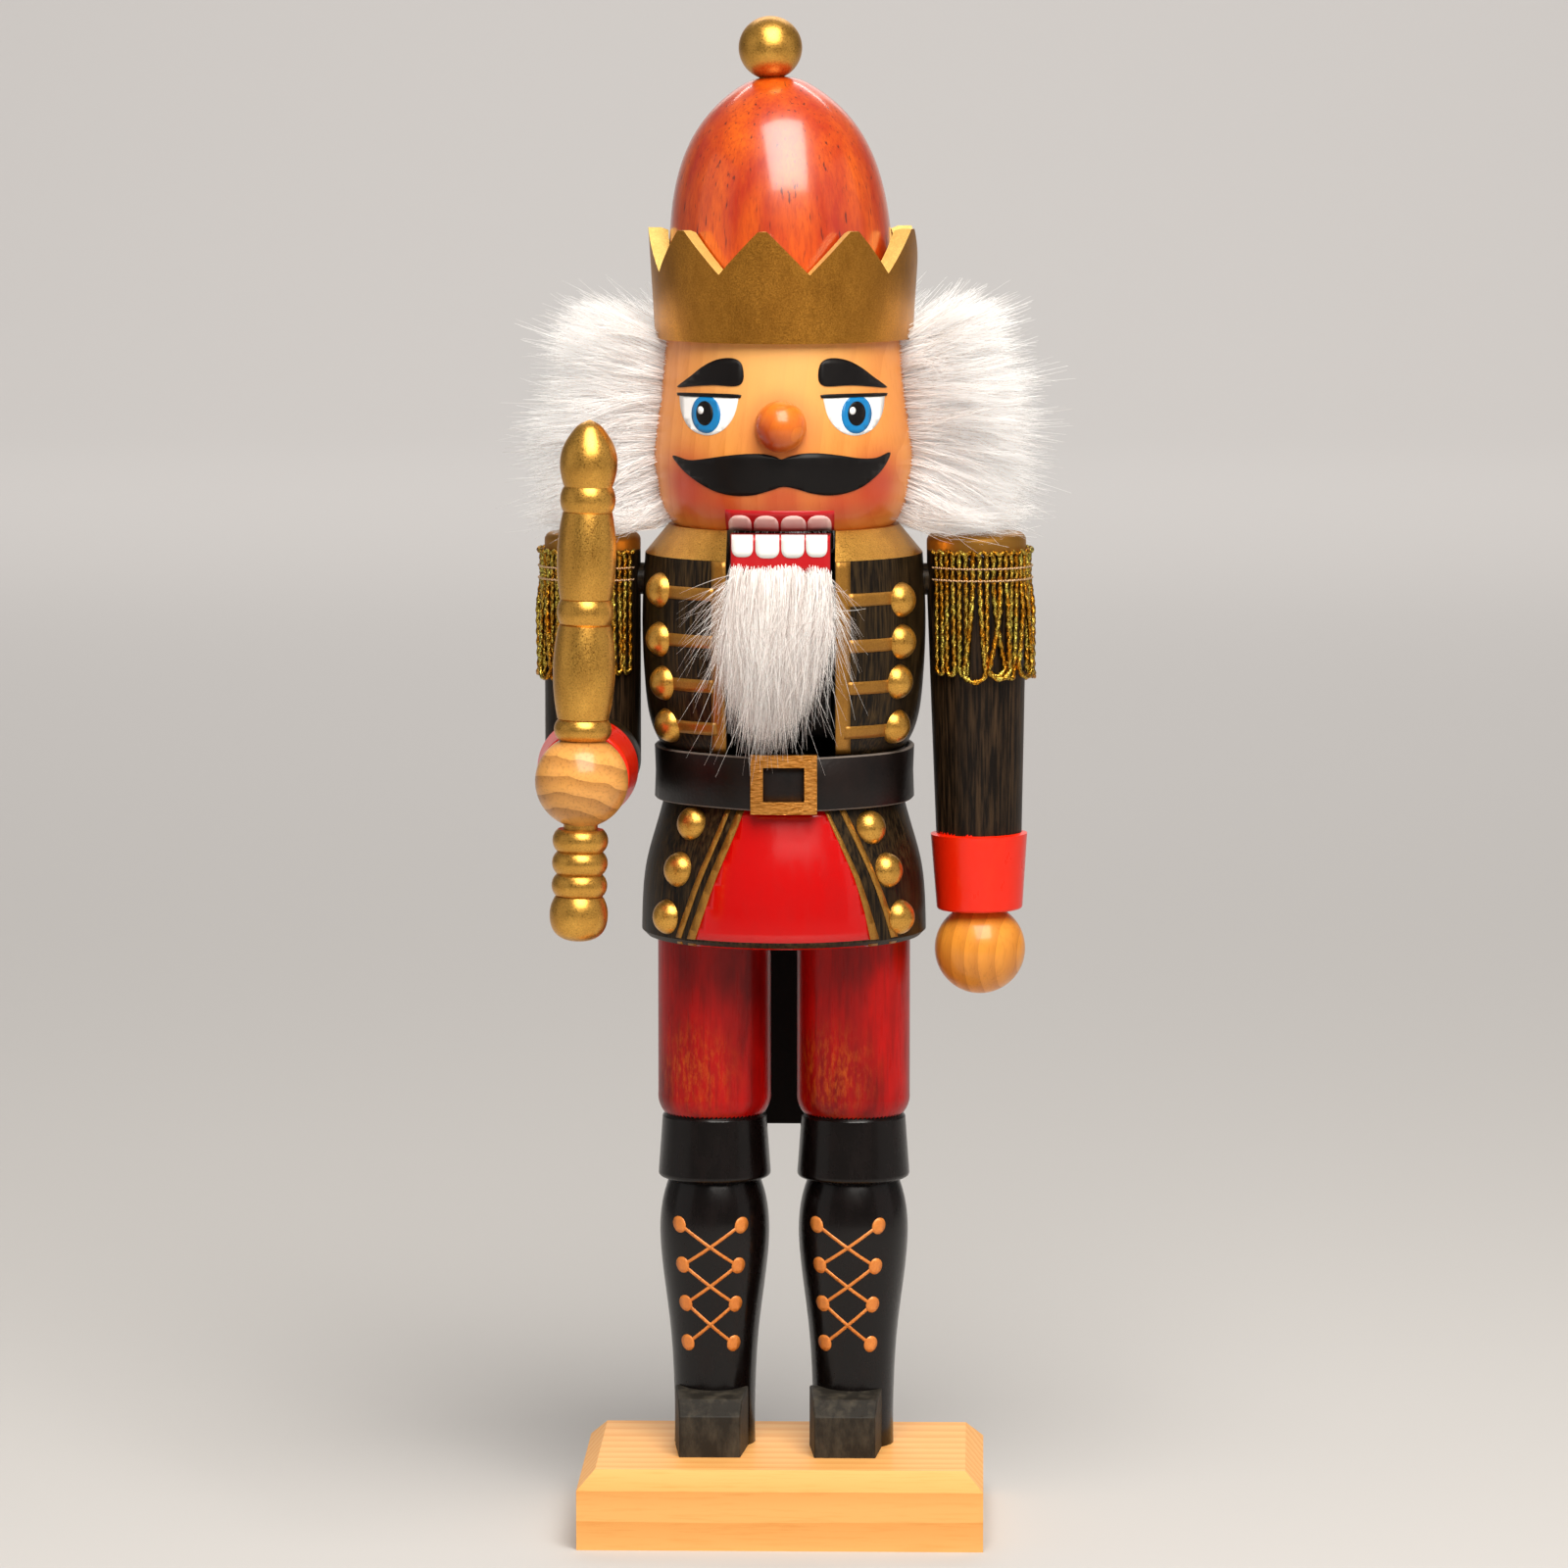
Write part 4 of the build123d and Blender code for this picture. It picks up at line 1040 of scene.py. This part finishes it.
def make_nape():
    """Dark sheet of painted shade behind the slot for the lever, hanging at the nape under the back fur."""
    section = [(0.0318, 0.2610), (0.0372, 0.2575), (0.0420, 0.2545), (0.0452, 0.2505),
               (0.0466, 0.2455), (0.0470, 0.2412)]
    columns, thick = 24, 0.0008
    ring = section + [(radius + thick, height - thick * 0.4) for radius, height in section[::-1]]
    verts = []
    for column in range(columns + 1):
        angle = radians(-30 + 60 * column / columns)
        hang = 0.0006 * sin(9 * angle) + 0.0004 * sin(17 * angle)
        for radius, height in ring:
            low = max(0.0, (0.2520 - height) / 0.0108)
            verts.append((radius * sin(angle), radius * cos(angle), height + hang * low))
    # Painted shade: a near-black, rough sheet that fills the gap behind the lever's slot with shade.
    material, tree, shader = new_material("nape_shade", "Roughness", 0.9, "Specular IOR Level", 0.1)
    nape_shade_grain = streaks(tree, (1300, 1300, 1300), detail=5.0)
    tinted(shader, nape_shade_grain, 0.35, 0.65, (0.012, 0.009, 0.007), (0.035, 0.027, 0.021))
    bumped(shader, nape_shade_grain, 0.5, 0.0003)
    piece("nape_shade_sheet", verts, skin(columns + 1, len(ring)), [material], "figure", "white_fur")


def make_beard():
    """White fur glued under the lower teeth, full at the chin and hanging to a point."""
    rng = np.random.default_rng(17)
    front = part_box("jaw_lever")[0].y
    t = np.linspace(0, 1, 7)[None, :]
    for layer in range(2):
        locks = 130
        across = rng.uniform(-1, 1, locks)[:, None]
        start = 0.2452 - rng.beta(1.0, 2.0, locks)[:, None] * 0.016
        tip = 0.1990 + 0.0100 * np.abs(across + 0.1) ** 1.6 + rng.uniform(0, 0.010, locks)[:, None]
        bulge = rng.uniform(0.0015, 0.0066, locks)[:, None]
        lean = rng.normal(0, 0.0016, locks)[:, None]
        x = across * (0.0113 * (1 - 0.40 * t ** 1.6) + 0.0020 * np.sin(2.9 * t))
        x = x + lean * t - 0.0030 * t ** 2
        y = front - 0.0001 - bulge * np.sin(np.minimum(1.0, t * 1.02) * 2.5) - 0.0006 * t
        z = start - (start - tip) * (0.80 * t + 0.20 * t ** 2)
        path = np.stack([x, y, z], axis=2)
        paths = strands(path, 40, 0.0007, rng, tip_spread=0.8, stray=0.0024, shortest=0.58)
        paths[..., 1] = np.minimum(paths[..., 1], front - 0.0001 - 0.0002 * rng.random((len(paths), 1)))
        beard = strand_mesh(f"beard_{layer + 1}", paths, rng, 0.00016, None, BEARD_FUR)
        if layer == 0:
            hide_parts("beard")
        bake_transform(beard)
    whisker_count = 150
    side = np.where(rng.random(whisker_count) < 0.68, -1.0, 1.0)[:, None]
    start = rng.uniform(0.232, 0.2445, whisker_count)[:, None]
    out = rng.uniform(0.003, 0.015, whisker_count)[:, None] * np.where(side < 0, 1.0, 0.65)
    fall = rng.uniform(0.004, 0.020, whisker_count)[:, None]
    x = side * (0.0110 + out * t)
    y = front - 0.0003 - rng.uniform(0.002, 0.006, whisker_count)[:, None] * np.sin(t * 2.6)
    z = start - fall * t ** 1.5
    whiskers = strand_mesh("beard_whiskers", np.stack([x, y, z], axis=2), rng, 0.00013, None, BEARD_FUR)
    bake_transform(whiskers)


# ---- build

make_stage()
trousers = trouser_stain()
# fur_shade and beard_shade are darker tints given to strands at random, as painted shade between the fibres;
# every tint also glows faintly as painted light.
HAIR_FUR = [
    fur_material("fur_white", (0.98, 0.965, 0.95), 0.5, 0.17),
    fur_material("fur_pearl", (0.94, 0.91, 0.89), 0.55, 0.16),
    fur_material("fur_shade", (0.70, 0.65, 0.62), 0.6, 0.08),
]
BEARD_FUR = [
    fur_material("beard_white", (0.96, 0.93, 0.90), 0.5, 0.10),
    fur_material("beard_pearl", (0.87, 0.80, 0.76), 0.55, 0.08),
    fur_material("beard_shade", (0.62, 0.52, 0.48), 0.6, 0.02),
]
chain_thread = metallic_paint("chain_thread", (0.50, 0.28, 0.12), (0.85, 0.60, 0.36), 0.35, 0.8)
dress_frame()
paint_face()
paint_jaw()
paint_coat()
paint_laces()
make_belt()
twisted = cord_gold()
make_fringe("left", twisted)
make_fringe("right", twisted)
make_hair()
make_nape()
make_beard()
